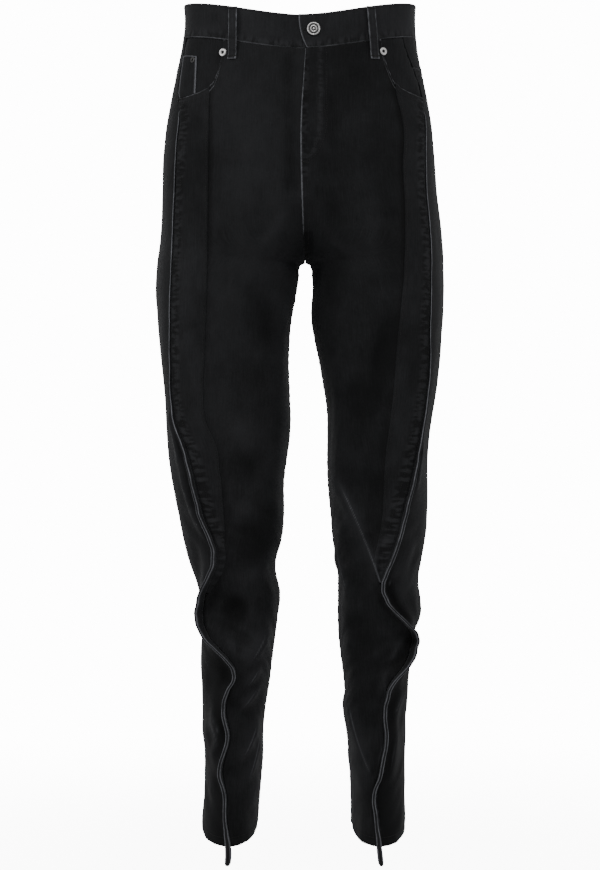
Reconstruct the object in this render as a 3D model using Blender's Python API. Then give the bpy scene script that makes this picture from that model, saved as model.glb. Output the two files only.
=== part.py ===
"""Banana jeans, worn with no wearer: hollow denim trousers as sewn panels.

Metres, +Z up. The origin is the centre of the waist opening, and the front faces -Y.
Tables are in millimetres. "down" is the distance below the waist, "out" the distance from the
middle plane towards that leg's own side, and a "turn" goes round a slice of a leg in radians:
0 faces the front, a quarter turn faces outwards and half a turn faces the back.
"""

import math

import bmesh
import bpy
import numpy as np

MM = 0.001

# Cloth
WALL = 1.6
BAND_WALL = 2.6
PATCH_WALL = 1.3
SEAM_GAP = 0.34
RIDE_GAP = 0.32

# Whole figure
CROTCH = 333.0
CROTCH_BLEND_TOP = 120.0
CROTCH_BLEND_POWER = 2.5
SLICE_POWER = 2.2
BAND_HEIGHT = 44.0
WAIST_SIDE = -4.0
WAIST_FRONT_DIP = 26.0
WAIST_FRONT_POWER = 1.8
WAIST_BACK_RISE = 5.0
LEVEL_TOP = 140.0
LEVEL_BOTTOM = 1010.0
HEM = 1072.0
HEM_FRONT_DIP = 20.0
HEM_BACK_RISE = 8.0
TONGUE_END = 1116.0

# Searches along a slice and down a column
HALVINGS = 24
SETTLINGS = 14
SMALL_TURN = 0.004
SMALL_DOWN = 0.8
SEAM_COLUMN_POWER = 10
EVEN_SEAM_LIMIT = 0.93
EVEN_SEAM_RUN = 150.0
EDGE_LEAST_TURN = -0.6
STRIP_END_FIRST = 730.0
STRIP_END_LAST = 800.0

# The standing edge
EDGE_TALL_SHARE = 0.46
EDGE_SPREAD_FRONT = 0.62
EDGE_SPREAD_BACK = 0.50
TONGUE_NARROWING = 0.55
TONGUE_TIP = 6.0
STRIP_LEAST_WIDTH = 2.2
FOLD_CLEAR_OF_EDGE = 0.16
FOLD_CLEAR_START = 0.3
FOLD_FACING_GAIN = 3.0
FOLD_TAPER = 22.0

# Yoke seam, at the side and at the centre back
YOKE_SIDE = 84.0
YOKE_CENTRE = 112.0

# Lap of the waistband
LAP_EDGE_TOP = -2.2
LAP_EDGE_BOTTOM = 14.0
LAP_EDGE_POWER = 2.1
LAP_UNDER = 38.0
LAP_EASE = 36.0
LAP_FLAT = 10.0
BAND_STEPS = 29

# Fly
FLY_WIDTH_LEFT = 38.0
FLY_WIDTH_RIGHT = 22.0
FLY_TOP = 68.0
FLY_END = 234.0
FLY_DEPTH = 0.8
FLY_TAPER = 12.0
FLY_INNER_COLUMN = 8.5
FLY_SEAM_COLUMN = 0.6

# Pocket facings and pockets
FACING_BEHIND = 14.0
FACING_INNER = 96.0
FACING_LEAST_DEPTH = 96.0
FACING_SLANT = 6.0
FACING_TO_SEAM = 0.5
PATCH_LIFT = 0.6
COIN_INNER = 136.5
COIN_WIDTH = 16.5
COIN_TOP_INNER = 70.0
COIN_TOP_OUTER = 66.0
COIN_SLANT = 1.5
COIN_TO_MOUTH = 1.2
COIN_RIVET_SINK = 0.3
BACK_POCKET_TOP = 134.0
BACK_POCKET_SIDE_LENGTH = 118.0
BACK_POCKET_POINT = 24.0
BACK_POCKET_INNER = 34.0
BACK_POCKET_WIDTH = 113.0
BACK_POCKET_TAPER = 7.0

# Belt loops
LOOP_WIDTH = 12.0
LOOP_WALL = 1.8
LOOP_REST = 0.7
LOOP_ARCH = 2.6
LOOP_BELOW_BAND = 24.0
LOOP_ROWS = (0.0, 0.05, 0.13, 0.3, 0.5, 0.7, 0.84, 0.92, 1.0)

# Metal
BUTTON_RADIUS = 8.6
BUTTON_RIM = 1.1
BUTTON_THICKNESS = 3.0
BUTTON_SHANK = 0.8
BUTTON_DISH = 0.7
BUTTON_SHANK_RADIUS = 3.6
RIVET_RADIUS = 5.2
RIVET_THICKNESS = 1.7
SMALL_RIVET_RADIUS = 4.0
ROUND_SIDES = 18
SHARP_ANGLE = 55

# Grid columns, as shares of a panel's width
FRONT_COLUMNS = (0.0, 0.07, 0.2, 0.36, 0.53, 0.7, 0.81, 0.855, 0.9, 0.95, 1.0)
STRIP_COLUMNS = (0.0, 0.4, 0.75, 1.0)
BACK_COLUMNS = (0.0, 0.06, 0.14, 0.24, 0.34, 0.44, 0.54, 0.64, 0.74, 0.84, 0.93, 1.0)


class Table:
    """Rows of sizes in millimetres, read by a column's name on a smooth curve through the rows."""

    def __init__(self, columns, rows):
        self.columns = columns
        self.rows = np.array(rows, dtype=float)

    def read(self, name, at):
        knots = self.rows[:, 0]
        values = self.rows[:, self.columns.index(name)]
        slopes = np.gradient(values, knots)
        at = np.clip(np.asarray(at, dtype=float), knots[0], knots[-1])
        low = np.clip(np.searchsorted(knots, at, side="right") - 1, 0, len(knots) - 2)
        step = knots[low + 1] - knots[low]
        share = (at - knots[low]) / step
        start = values[low] + slopes[low] * step * share
        end = values[low + 1] - slopes[low + 1] * step * (1 - share)
        ease = share * share * (3 - 2 * share)
        line = values[low] * (1 - share) + values[low + 1] * share
        bent = start * (1 - ease) + end * ease
        return np.where(step > 0, bent, line)


CENTRE_SEAM = Table(("down", "x"), (
    (-20, -2),
    (66, -1),
    (200, 0),
    (290, 3),
    (333, 5),
    (1200, 5),
))

# How far the left front's edge of the fly lies past the centre seam
FLY_SHIFT = Table(("down", "x"), (
    (60, 7.6),
    (108, 4.2),
    (159, 0.9),
    (196, 0),
    (230, 0),
    (1200, 0),
))

# Where the middle of a leg lies, as a share of the width from the centre seam
CENTRES = Table(("down", "share"), (
    (-20, 0),
    (120, 0),
    (160, 0.015),
    (200, 0.078),
    (240, 0.19),
    (270, 0.29),
    (300, 0.39),
    (320, 0.45),
    (340, 0.49),
    (365, 0.518),
    (400, 0.54),
    (450, 0.552),
    (550, 0.56),
    (620, 0.578),
    (680, 0.587),
    (731, 0.613),
    (770, 0.613),
    (826, 0.635),
    (880, 0.665),
    (921, 0.69),
    (985, 0.705),
    (1069, 0.73),
    (1120, 0.735),
))

DEPTHS = Table(("down", "front", "back"), (
    (-20, -103, 97),
    (45, -106, 104),
    (100, -110, 116),
    (160, -114, 127),
    (220, -115, 134),
    (280, -113, 134),
    (333, -110, 128),
    (380, -107, 120),
    (440, -102, 109),
    (500, -96, 99),
    (560, -90, 91),
    (620, -86, 84),
    (680, -84, 78),
    (740, -83, 74),
    (800, -82, 73),
    (860, -80, 72),
    (920, -77, 71),
    (980, -74, 70),
    (1040, -72, 68),
    (1120, -70, 66),
))

RIGHT_OUTER = Table(("down", "out"), (
    (-20, 156),
    (45, 157),
    (66, 161),
    (98, 168),
    (130, 174),
    (177, 181),
    (240, 184),
    (304, 187),
    (351, 192),
    (400, 190.5),
    (446, 187),
    (510, 180.5),
    (573, 177),
    (605, 173.5),
    (636, 168),
    (668, 161.5),
    (700, 155),
    (731, 147),
    (763, 136),
    (800, 131),
    (842, 132.5),
    (890, 131.5),
    (937, 130),
    (990, 127),
    (1025, 128),
    (1069, 131),
    (1120, 131),
))

LEFT_OUTER = Table(("down", "out"), (
    (-20, 151),
    (45, 152),
    (66, 155),
    (98, 162),
    (130, 168),
    (177, 174),
    (240, 179),
    (304, 186),
    (345, 188),
    (383, 188),
    (430, 185),
    (478, 181),
    (510, 177),
    (541, 172),
    (573, 168),
    (636, 166.5),
    (668, 165.5),
    (700, 162.5),
    (731, 157),
    (752, 154),
    (779, 157),
    (800, 156),
    (820, 148),
    (858, 144),
    (889, 140.5),
    (953, 137),
    (1069, 136.5),
    (1120, 136.5),
))

RIGHT_INNER = Table(("down", "out"), (
    (333, -5),
    (335, 0),
    (339, 2.2),
    (351, 3.6),
    (367, 6),
    (383, 8.6),
    (414, 13.9),
    (440, 16),
    (510, 15.5),
    (557, 15.2),
    (589, 19),
    (620, 23),
    (668, 23.4),
    (700, 27),
    (731, 34.5),
    (770, 28.5),
    (795, 31),
    (826, 35),
    (858, 39),
    (890, 43),
    (921, 48),
    (985, 51),
    (1069, 57.4),
    (1120, 59),
))

LEFT_INNER = Table(("down", "out"), (
    (333, 5),
    (335, 10),
    (339, 12.2),
    (351, 14),
    (367, 15),
    (399, 13),
    (430, 16.5),
    (462, 23),
    (494, 28.5),
    (526, 33.3),
    (557, 34.3),
    (620, 34.6),
    (668, 38.9),
    (700, 41.5),
    (731, 46.9),
    (763, 48.2),
    (810, 48.4),
    (842, 50.8),
    (873, 54.8),
    (905, 57.4),
    (937, 58.8),
    (985, 62.5),
    (1069, 65.3),
    (1120, 66),
))

RIGHT_EDGE = Table(("down", "out", "proud", "thick"), (
    (-20, 142, 0, 0.4),
    (66, 155, 0, 0.4),
    (120, 161.5, 0.3, 0.5),
    (140, 160, 3, 2.4),
    (180, 163, 4, 2.6),
    (249, 166, 5, 2.6),
    (322, 168.5, 5, 2.6),
    (415, 171.6, 5, 2.6),
    (469, 171.7, 6, 2.7),
    (525, 169.4, 8, 3),
    (549, 165.3, 10, 3.2),
    (571, 157, 12, 3.4),
    (598, 149, 14, 3.6),
    (650, 136.3, 17, 4),
    (674, 129, 19, 4.2),
    (697, 118.7, 21, 4.4),
    (718, 114.6, 24, 4.4),
    (741, 120.3, 26, 4.4),
    (761, 130.6, 27, 4.4),
    (780, 135.8, 27, 4.4),
    (797, 137.1, 27, 4.4),
    (813, 132.5, 27, 4.4),
    (836, 111.3, 28, 4.4),
    (852, 94.6, 28, 4.4),
    (866, 87, 27, 4.4),
    (889, 95.4, 25, 4.4),
    (914, 101.4, 24, 4.4),
    (947, 95, 23, 4.4),
    (995, 106.2, 22, 4.4),
    (1026, 99.5, 20, 4.4),
    (1058, 99.2, 18, 4.4),
    (1074, 96.8, 17.5, 5.6),
    (1090, 94.5, 17, 7.4),
    (1120, 95.5, 16, 7.8),
))

LEFT_EDGE = Table(("down", "out", "proud", "thick"), (
    (-20, 128, 0, 0.4),
    (40, 131, 0, 0.4),
    (67, 139, 0, 0.4),
    (92, 149.5, 0, 0.4),
    (116, 157.5, 0.2, 0.5),
    (140, 161, 3, 2.4),
    (193, 162.5, 4, 2.6),
    (245, 163.4, 5, 2.6),
    (313, 168.4, 5, 2.6),
    (369, 168.6, 5, 2.6),
    (432, 167.4, 5.5, 2.6),
    (469, 167.6, 6, 2.7),
    (506, 165, 8, 3),
    (543, 159.8, 10, 3.2),
    (586, 152.8, 13, 3.5),
    (627, 144.6, 15, 3.9),
    (663, 135.1, 18, 4.2),
    (700, 125.2, 21, 4.4),
    (726, 115.2, 24, 4.4),
    (742, 108, 26, 4.4),
    (755, 104.9, 27, 4.4),
    (770, 108.6, 28, 4.4),
    (786, 119.5, 28, 4.4),
    (805, 139, 26, 4.4),
    (821, 150.5, 24, 4.4),
    (836, 148.9, 25, 4.4),
    (857, 139.5, 26, 4.4),
    (880, 118.5, 26, 4.4),
    (899, 111.4, 25, 4.4),
    (919, 107.8, 24, 4.4),
    (948, 109.3, 23, 4.4),
    (979, 105.2, 22, 4.4),
    (1003, 100.1, 21, 4.4),
    (1030, 92.8, 20, 4.4),
    (1049, 95.2, 18, 4.4),
    (1070, 97.2, 17.5, 5.2),
    (1087, 99, 17, 6.6),
    (1120, 103, 16, 7.0),
))

RIGHT_STRIP = Table(("down", "out"), (
    (100, 120),
    (184, 120.7),
    (261, 121.3),
    (388, 123),
    (465, 125.8),
    (516, 127.2),
    (535, 126),
    (552, 120.9),
    (567, 114),
    (606, 106.9),
    (645, 103),
    (700, 100.8),
    (730, 100.8),
    (748, 108.5),
    (772, 127),
    (800, 150),
))

LEFT_STRIP = Table(("down", "out"), (
    (100, 122),
    (124, 124),
    (144, 129),
    (217, 131.5),
    (295, 134),
    (337, 133),
    (388, 129.5),
    (439, 124.4),
    (503, 119.5),
    (558, 113.2),
    (589, 109.4),
    (636, 106.9),
    (672, 104.5),
    (700, 99.5),
    (725, 95),
    (743, 98),
    (760, 105),
    (780, 122),
    (800, 150),
))

RIGHT_SCOOP = Table(("out", "down"), (
    (101.5, 60),
    (103, 74),
    (105.5, 84),
    (109.5, 97),
    (116.5, 109),
    (126.5, 116.5),
    (138, 120),
    (150, 122.5),
    (170, 122.5),
))

LEFT_SCOOP = Table(("out", "down"), (
    (102.5, 60),
    (106.5, 74),
    (110.5, 85),
    (115.8, 98.5),
    (123.7, 109.5),
    (133, 115),
    (145, 119),
    (156, 121.5),
    (170, 122.5),
))


class Leg:
    """One side of the garment and the tables that shape it."""

    def __init__(self, name, side, outer, inner, edge, strip, scoop):
        self.name = name
        self.side = side
        self.outer = outer
        self.inner = inner
        self.edge = edge
        self.strip = strip
        self.scoop = scoop


RIGHT = Leg("right", -1, RIGHT_OUTER, RIGHT_INNER, RIGHT_EDGE, RIGHT_STRIP, RIGHT_SCOOP)
LEFT = Leg("left", 1, LEFT_OUTER, LEFT_INNER, LEFT_EDGE, LEFT_STRIP, LEFT_SCOOP)
LEGS = (RIGHT, LEFT)

# Large folds: side, facing (1 front, -1 back), then both ends as (down, out), width and height
FOLDS = (
    (-1, 1, 838, 42, 925, 86, 10, 5.0),
    (-1, 1, 905, 52, 1000, 88, 10, 4.5),
    (-1, 1, 985, 56, 1062, 88, 10, 3.5),
    (-1, 1, 905, 126, 975, 106, 9, 3.5),
    (-1, -1, 640, 36, 705, 140, 17, 5.0),
    (-1, -1, 735, 40, 780, 126, 16, 5.0),
    (-1, -1, 820, 42, 885, 124, 15, 4.0),
    (1, 1, 612, 46, 760, 104, 10, 6.0),
    (1, 1, 880, 58, 1012, 94, 10, 4.5),
    (1, 1, 880, 134, 950, 112, 9, 3.5),
    (1, -1, 650, 46, 705, 152, 17, 5.0),
    (1, -1, 745, 54, 790, 146, 16, 5.0),
    (1, -1, 830, 56, 895, 134, 15, 4.0),
)

# Belt loops: name, side, turn and how far the lower end leans
BELT_LOOPS = (
    ("front_right", RIGHT, 0.782, -4.0),
    ("front_left", LEFT, 0.815, 0.0),
    ("back_right", RIGHT, 2.0, 0.0),
    ("back_left", LEFT, 2.0, 0.0),
    ("centre_back", LEFT, math.pi, 0.0),
)


# ---------------------------------------------------------------- the form

def find_turn(out_at, wanted, low, high):
    """The turn at which a point lies as far out as wanted, by halving the range."""
    low = np.broadcast_to(np.asarray(low, dtype=float), wanted.shape).copy()
    high = np.broadcast_to(np.asarray(high, dtype=float), wanted.shape).copy()
    for _ in range(HALVINGS):
        middle = (low + high) / 2
        short = out_at(middle) < wanted
        low = np.where(short, middle, low)
        high = np.where(short, high, middle)
    return (low + high) / 2


def smooth_step(share):
    """Eases from 0 to 1."""
    share = np.clip(share, 0, 1)
    return share * share * (3 - 2 * share)


class Ring:
    """Slices of a leg at given heights: the round body, the flare and the standing edge."""

    def __init__(self, leg, down):
        self.leg = leg
        self.down = np.asarray(down, dtype=float)
        down = self.down
        middle = leg.side * CENTRE_SEAM.read("x", down)
        outer = leg.outer.read("out", down)
        rise = np.clip((down - CROTCH_BLEND_TOP) / (CROTCH - CROTCH_BLEND_TOP), 0, 1)
        split = rise ** CROTCH_BLEND_POWER
        across = middle - (outer - middle) * (1 - split) / (1 + split)
        inner = np.where(down < CROTCH, across, leg.inner.read("out", down))
        front = DEPTHS.read("front", down)
        back = DEPTHS.read("back", down)
        self.middle = middle
        self.out = middle + (outer - middle) * CENTRES.read("share", down)
        self.half_out = outer - self.out
        self.half_in = self.out - inner
        self.y = (front + back) / 2
        self.deep = (back - front) / 2
        self.find_edge()

    def round_reach(self, turn):
        """Distance from the centre to the round of the slice."""
        half = np.where(np.sin(turn) > 0, self.half_out, self.half_in)
        across = (np.abs(np.sin(turn)) / half) ** SLICE_POWER
        along = (np.abs(np.cos(turn)) / self.deep) ** SLICE_POWER
        return (across + along) ** (-1 / SLICE_POWER)

    def find_edge(self):
        """Where the standing edge lies round the slice, and how tall and thick it is."""
        proud = self.leg.edge.read("proud", self.down)
        wanted = self.leg.edge.read("out", self.down)
        self.thick = self.leg.edge.read("thick", self.down)

        def out_at(turn):
            return self.out + (self.round_reach(turn) + proud) * np.sin(turn)

        self.edge = find_turn(out_at, wanted, EDGE_LEAST_TURN, math.pi / 2)
        self.tip = self.round_reach(self.edge) + proud
        self.root = self.tip - proud * EDGE_TALL_SHARE
        self.corner = self.root - SEAM_GAP
        half_turn = self.thick / 2 / self.root
        self.before = self.edge - half_turn
        self.after = self.edge + half_turn
        self.lift_front = self.corner - self.round_reach(self.before)
        self.lift_back = self.corner - self.round_reach(self.after)

    def folds(self, turn, out):
        """How far the leg's large folds raise or sink the cloth."""
        total = np.zeros(np.broadcast(turn, out).shape)
        facing = np.cos(turn)
        clear = smooth_step(np.abs(turn - self.edge) / FOLD_CLEAR_OF_EDGE - FOLD_CLEAR_START)
        for side, way, down_a, out_a, down_b, out_b, width, height in FOLDS:
            if side != self.leg.side:
                continue
            run_down = down_b - down_a
            run_out = out_b - out_a
            length = math.hypot(run_down, run_out)
            along = ((self.down - down_a) * run_down + (out - out_a) * run_out) / length
            aside = ((self.down - down_a) * run_out - (out - out_a) * run_down) / length
            ends = smooth_step(along / FOLD_TAPER) * smooth_step((length - along) / FOLD_TAPER)
            ridge = height * np.exp(-((aside / width) ** 2)) * ends
            total = total + ridge * smooth_step(facing * way * FOLD_FACING_GAIN)
        return total * clear

    def reach(self, turn):
        """Distance from the centre to the cloth, with its flare and its folds."""
        near_front = np.clip(1 - (self.before - turn) / EDGE_SPREAD_FRONT, 0, None) ** 2
        near_back = np.clip(1 - (turn - self.after) / EDGE_SPREAD_BACK, 0, None) ** 2
        on_front = turn < self.edge
        flare = np.where(on_front, self.lift_front * near_front, self.lift_back * near_back)
        plain = self.round_reach(turn) + flare
        return plain + self.folds(turn, self.out + plain * np.sin(turn))

    def out_at(self, turn):
        """How far out the cloth lies at a turn."""
        return self.out + self.reach(turn) * np.sin(turn)

    def place(self, turn, reach):
        """A point in millimetres from its turn and its reach round the slice's centre."""
        out = self.out + reach * np.sin(turn)
        y = self.y - reach * np.cos(turn)
        return np.stack(np.broadcast_arrays(self.leg.side * out, y, -self.down), axis=-1)

    def surface(self, turn):
        """Points of the cloth's outer face."""
        return self.place(turn, self.reach(turn))

    def seam_share(self, limit):
        """Turn of the centre front, or of the inseam below the crotch, kept within a limit."""
        across = (self.out - self.middle - SEAM_GAP / 2) / self.half_in
        share = np.where(self.down < CROTCH, across, 1.0)
        share = np.clip(share, -limit, limit)
        deep = self.deep * (1 - np.abs(share) ** SLICE_POWER) ** (1 / SLICE_POWER)
        return np.arctan2(-share * self.half_in, deep)

    def front_seam(self):
        """The centre front above the crotch, and the inseam below it."""
        inseam = -math.pi / 2 + SEAM_GAP / 2 / self.half_in
        return np.maximum(self.seam_share(1.0), inseam)

    def even_seam(self):
        """A seam that turns gently past the crotch, from which the columns are spaced."""
        gone = smooth_step((self.down - CROTCH) / EVEN_SEAM_RUN)
        limit = EVEN_SEAM_LIMIT + (1 - EVEN_SEAM_LIMIT) * gone
        return np.minimum(self.seam_share(limit), 0.0)

    def turn_for(self, out, back=False):
        """The turn of the point of the front, or of the back, that lies this far out."""
        out = np.broadcast_to(np.asarray(out, dtype=float), self.down.shape)

        def out_at(turn):
            return self.out_at(math.pi - turn if back else turn)

        high = math.pi / 2 if back else self.before
        turn = find_turn(out_at, out, -math.pi / 2, high)
        return math.pi - turn if back else turn

    def strip_seam(self):
        """The strip's inner seam, which runs into the standing edge at its lower end."""
        return np.minimum(self.turn_for(self.leg.strip.read("out", self.down)), self.before)


def outward(leg, down, turn):
    """Unit normals of the outer face."""
    ring = Ring(leg, down)
    along = ring.surface(turn + SMALL_TURN) - ring.surface(turn - SMALL_TURN)
    drop = Ring(leg, down + SMALL_DOWN).surface(turn) - Ring(leg, down - SMALL_DOWN).surface(turn)
    normal = np.cross(drop, along) * leg.side
    return normal / np.linalg.norm(normal, axis=-1, keepdims=True)


def waist_top(turn):
    """How far down the waistband's upper edge lies at a turn."""
    facing = np.cos(turn)
    dip = WAIST_FRONT_DIP * np.clip(facing, 0, 1) ** WAIST_FRONT_POWER
    rise = WAIST_BACK_RISE * np.clip(-facing, 0, 1) ** 2
    return WAIST_SIDE + dip - rise


def hem_down(turn):
    """How far down the hem lies at a turn."""
    facing = np.cos(turn)
    return HEM + HEM_FRONT_DIP * np.clip(facing, 0, 1) ** 2 - HEM_BACK_RISE * np.clip(-facing, 0, 1)


# ---------------------------------------------------------------- meshes

def material(name, colour, roughness, metallic=0.0):
    """A Principled material for one sub-part."""
    made = bpy.data.materials.new(name)
    made.use_nodes = True
    shader = made.node_tree.nodes["Principled BSDF"]
    shader.inputs["Base Color"].default_value = (*colour, 1.0)
    shader.inputs["Roughness"].default_value = roughness
    shader.inputs["Metallic"].default_value = metallic
    made.diffuse_color = (*colour, 1.0)
    return made


def add_object(name, points, faces, made_material, smooth=True):
    """One closed body from points in millimetres, with its faces turned outwards."""
    mesh = bpy.data.meshes.new(name)
    mesh.from_pydata([tuple(point * MM) for point in points], [], faces)
    shape = bmesh.new()
    shape.from_mesh(mesh)
    bmesh.ops.recalc_face_normals(shape, faces=shape.faces)
    bmesh.ops.triangulate(shape, faces=shape.faces)
    shape.to_mesh(mesh)
    shape.free()
    mesh.materials.append(made_material)
    if smooth:
        mesh.shade_smooth()
        mesh.set_sharp_from_angle(angle=math.radians(SHARP_ANGLE))
    item = bpy.data.objects.new(name, mesh)
    bpy.context.scene.collection.objects.link(item)
    return item


def sheet_faces(rows, columns):
    """Faces of a wall: an outer grid, an inner grid after it, and the rim between them."""
    faces = []
    inner = rows * columns
    for row in range(rows - 1):
        for column in range(columns - 1):
            a = row * columns + column
            b = a + 1
            c = a + columns + 1
            d = a + columns
            faces.append((a, b, c, d))
            faces.append((inner + d, inner + c, inner + b, inner + a))
    rim = [column for column in range(columns)]
    rim += [row * columns + columns - 1 for row in range(1, rows)]
    rim += [(rows - 1) * columns + column for column in range(columns - 2, -1, -1)]
    rim += [row * columns for row in range(rows - 2, 0, -1)]
    for index, a in enumerate(rim):
        b = rim[(index + 1) % len(rim)]
        faces.append((b, a, inner + a, inner + b))
    return faces


def add_sheet(name, outer, inner, made_material):
    """A cloth wall from a grid of outer points and a grid of inner points."""
    rows, columns, _ = outer.shape
    points = np.concatenate((outer.reshape(-1, 3), inner.reshape(-1, 3)))
    return add_object(name, points, sheet_faces(rows, columns), made_material)


def even_rows(stretches):
    """Heights through stretches of (from, to, number of steps)."""
    rows = []
    for start, end, steps in stretches:
        rows += [start + (end - start) * step / steps for step in range(steps)]
    rows.append(stretches[-1][1])
    return np.array(rows)


# The long panels are modelled in lengths, each a body of its own, so that each stays open inside
LENGTH_GAP = 0.3
LENGTHS = (
    ("hip", 0.0, 268.0),
    ("thigh", 268.0, 465.3),
    ("knee", 465.3, 640.0),
    ("shin", 640.0, 828.6),
    ("cuff", 828.6, 1200.0),
)
STRIP_LENGTHS = (
    ("hip", 0.0, 268.0),
    ("thigh", 268.0, 465.3),
    ("knee", 465.3, 1200.0),
)

PANEL_ROWS = even_rows((
    (60.0, 120.0, 3),
    (120.0, LEVEL_TOP, 2),
    (LEVEL_TOP, 300.0, 5),
    (300.0, 330.0, 3),
    (330.0, CROTCH, 1),
    (CROTCH, 338.0, 2),
    (338.0, 356.0, 2),
    (356.0, 520.0, 6),
    (520.0, 700.0, 9),
    (700.0, 880.0, 14),
    (880.0, LEVEL_BOTTOM, 7),
    (LEVEL_BOTTOM, HEM, 3),
))


def leg_rows(leg):
    """The panel rows of a leg, one of them moved to the lower end of its strip."""
    down = np.arange(STRIP_END_FIRST, STRIP_END_LAST, 0.5)
    ring = Ring(leg, down)
    width = (ring.before - ring.strip_seam()) * ring.deep
    last = down[np.argmax(width < STRIP_LEAST_WIDTH)]
    rows = PANEL_ROWS.copy()
    rows[np.argmin(np.abs(rows - last))] = last
    return rows, last


def fit_rows(rows, top, bottom):
    """Heights of a grid whose first and last rows follow the top and bottom of each column."""
    rows = rows[:, None]
    upper = top + (rows - rows[0]) * (LEVEL_TOP - top) / (LEVEL_TOP - rows[0])
    lower = bottom - (rows[-1] - rows) * (bottom - LEVEL_BOTTOM) / (rows[-1] - LEVEL_BOTTOM)
    level = np.broadcast_to(rows, upper.shape)
    return np.where(rows < LEVEL_TOP, upper, np.where(rows > LEVEL_BOTTOM, lower, level))


def settle(shares, turns_at, height_at, guess):
    """Heights at which each column meets an edge that depends on its turn."""
    down = np.full(shares.shape, guess, dtype=float)
    for _ in range(SETTLINGS):
        down = (down + height_at(turns_at(down), down)) / 2
    return down


def cloth_wall(leg, down, turn):
    """Outer and inner points of a panel."""
    outer = Ring(leg, down).surface(turn)
    return outer, outer - outward(leg, down, turn) * WALL


def tuck_under_edge(leg, down, hand, outer, inner, column):
    """Ends a wall under the standing edge, clear of the edge and of its neighbour."""
    ring = Ring(leg, down)
    outer[:, column] = ring.place(ring.edge + hand * ring.thick / 2 / ring.root, ring.corner)
    side = np.minimum(SEAM_GAP / 2, ring.thick / 2)
    low = ring.corner - WALL
    inner[:, column] = ring.place(ring.edge + hand * side / low, low)


def add_lengths(name, leg, lengths, down, turns_at, denim, hand=0):
    """A long panel as one closed body for each of its lengths, tucked under the edge by hand."""
    column = -1 if hand < 0 else 0
    for part, start, end in lengths:
        inside = (down[:, column] > start - 1) & (down[:, column] < end + 1)
        piece = down[inside]
        if start > 0:
            piece[0] = start + LENGTH_GAP / 2
        if inside[-1] == 0:
            piece[-1] = end - LENGTH_GAP / 2
        outer, inner = cloth_wall(leg, piece, turns_at(piece))
        if hand:
            tuck_under_edge(leg, piece[:, column], hand, outer, inner, column)
        add_sheet(name + "_" + leg.name + "_" + part, outer, inner, denim)


def waist_seam(turn):
    """Where a panel starts below the waistband."""
    return waist_top(turn) + BAND_HEIGHT + SEAM_GAP


def yoke_seam(turn):
    """Where the back panel meets the yoke."""
    return YOKE_SIDE + (YOKE_CENTRE - YOKE_SIDE) * np.clip(-np.cos(turn), 0, 1) ** 1.5


def front_turns(leg, shares):
    """Turns of the front panel's columns, from the centre seam to the strip."""
    near_seam = (1 - shares) ** SEAM_COLUMN_POWER

    def turns_at(down):
        ring = Ring(leg, down)
        last = ring.strip_seam() - SEAM_GAP / 2 / ring.deep
        even = ring.even_seam()
        even = even + (last - even) * shares
        exact = ring.front_seam() + leg.side * FLY_SHIFT.read("x", down) / ring.deep
        exact = exact + (last - exact) * shares
        return even + (exact - even) * near_seam

    return turns_at


def back_turns(leg, shares):
    """Turns of the back panel's and the yoke's columns, from the side to the centre seam."""
    near_seam = shares ** SEAM_COLUMN_POWER

    def turns_at(down):
        ring = Ring(leg, down)
        even = ring.after + (math.pi - ring.even_seam() - ring.after) * shares
        exact = ring.after + (math.pi - ring.front_seam() - ring.after) * shares
        return even + (exact - even) * near_seam

    return turns_at


def make_front(leg, denim):
    """The front panel, cut away at its upper corner by the pocket mouth."""
    shares = np.array(FRONT_COLUMNS)
    turns_at = front_turns(leg, shares)

    def top_at(turn, down):
        out = Ring(leg, down).out_at(turn)
        seam = waist_seam(turn)
        mouth = np.where(out > leg.scoop.rows[0, 0], leg.scoop.read("down", out), seam)
        return np.maximum(seam, mouth)

    def hem_at(turn, down):
        return hem_down(turn)

    top = settle(shares, turns_at, top_at, 100.0)
    bottom = settle(shares, turns_at, hem_at, HEM)
    down = fit_rows(leg_rows(leg)[0], top, bottom)
    add_lengths("front", leg, LENGTHS, down, turns_at, denim)


def make_strip(leg, denim):
    """The shaped strip between the front panel and the standing edge."""
    shares = np.array(STRIP_COLUMNS)
    rows, last = leg_rows(leg)

    def turns_at(down):
        ring = Ring(leg, down)
        first = ring.strip_seam() + SEAM_GAP / 2 / ring.deep
        return first + (ring.before - first) * shares

    def top_at(turn, down):
        return leg.scoop.read("down", Ring(leg, down).out_at(turn))

    top = settle(shares, turns_at, top_at, 118.0)
    rows = rows[(rows > 80.0) & (rows <= last)][:, None]
    down = top + (rows - rows[0]) * (LEVEL_TOP - top) / (LEVEL_TOP - rows[0])
    down = np.where(rows < LEVEL_TOP, down, rows)
    add_lengths("strip", leg, STRIP_LENGTHS, down, turns_at, denim, -1)


def make_back(leg, denim):
    """The back panel, from the standing edge round to the centre back and the inseam."""
    shares = np.array(BACK_COLUMNS)
    turns_at = back_turns(leg, shares)

    def top_at(turn, down):
        return yoke_seam(turn) + SEAM_GAP / 2

    def hem_at(turn, down):
        return hem_down(turn)

    top = settle(shares, turns_at, top_at, 95.0)
    bottom = settle(shares, turns_at, hem_at, HEM)
    rows = leg_rows(leg)[0]
    down = fit_rows(rows[rows > 75.0], top, bottom)
    add_lengths("back", leg, LENGTHS, down, turns_at, denim, 1)


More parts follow.
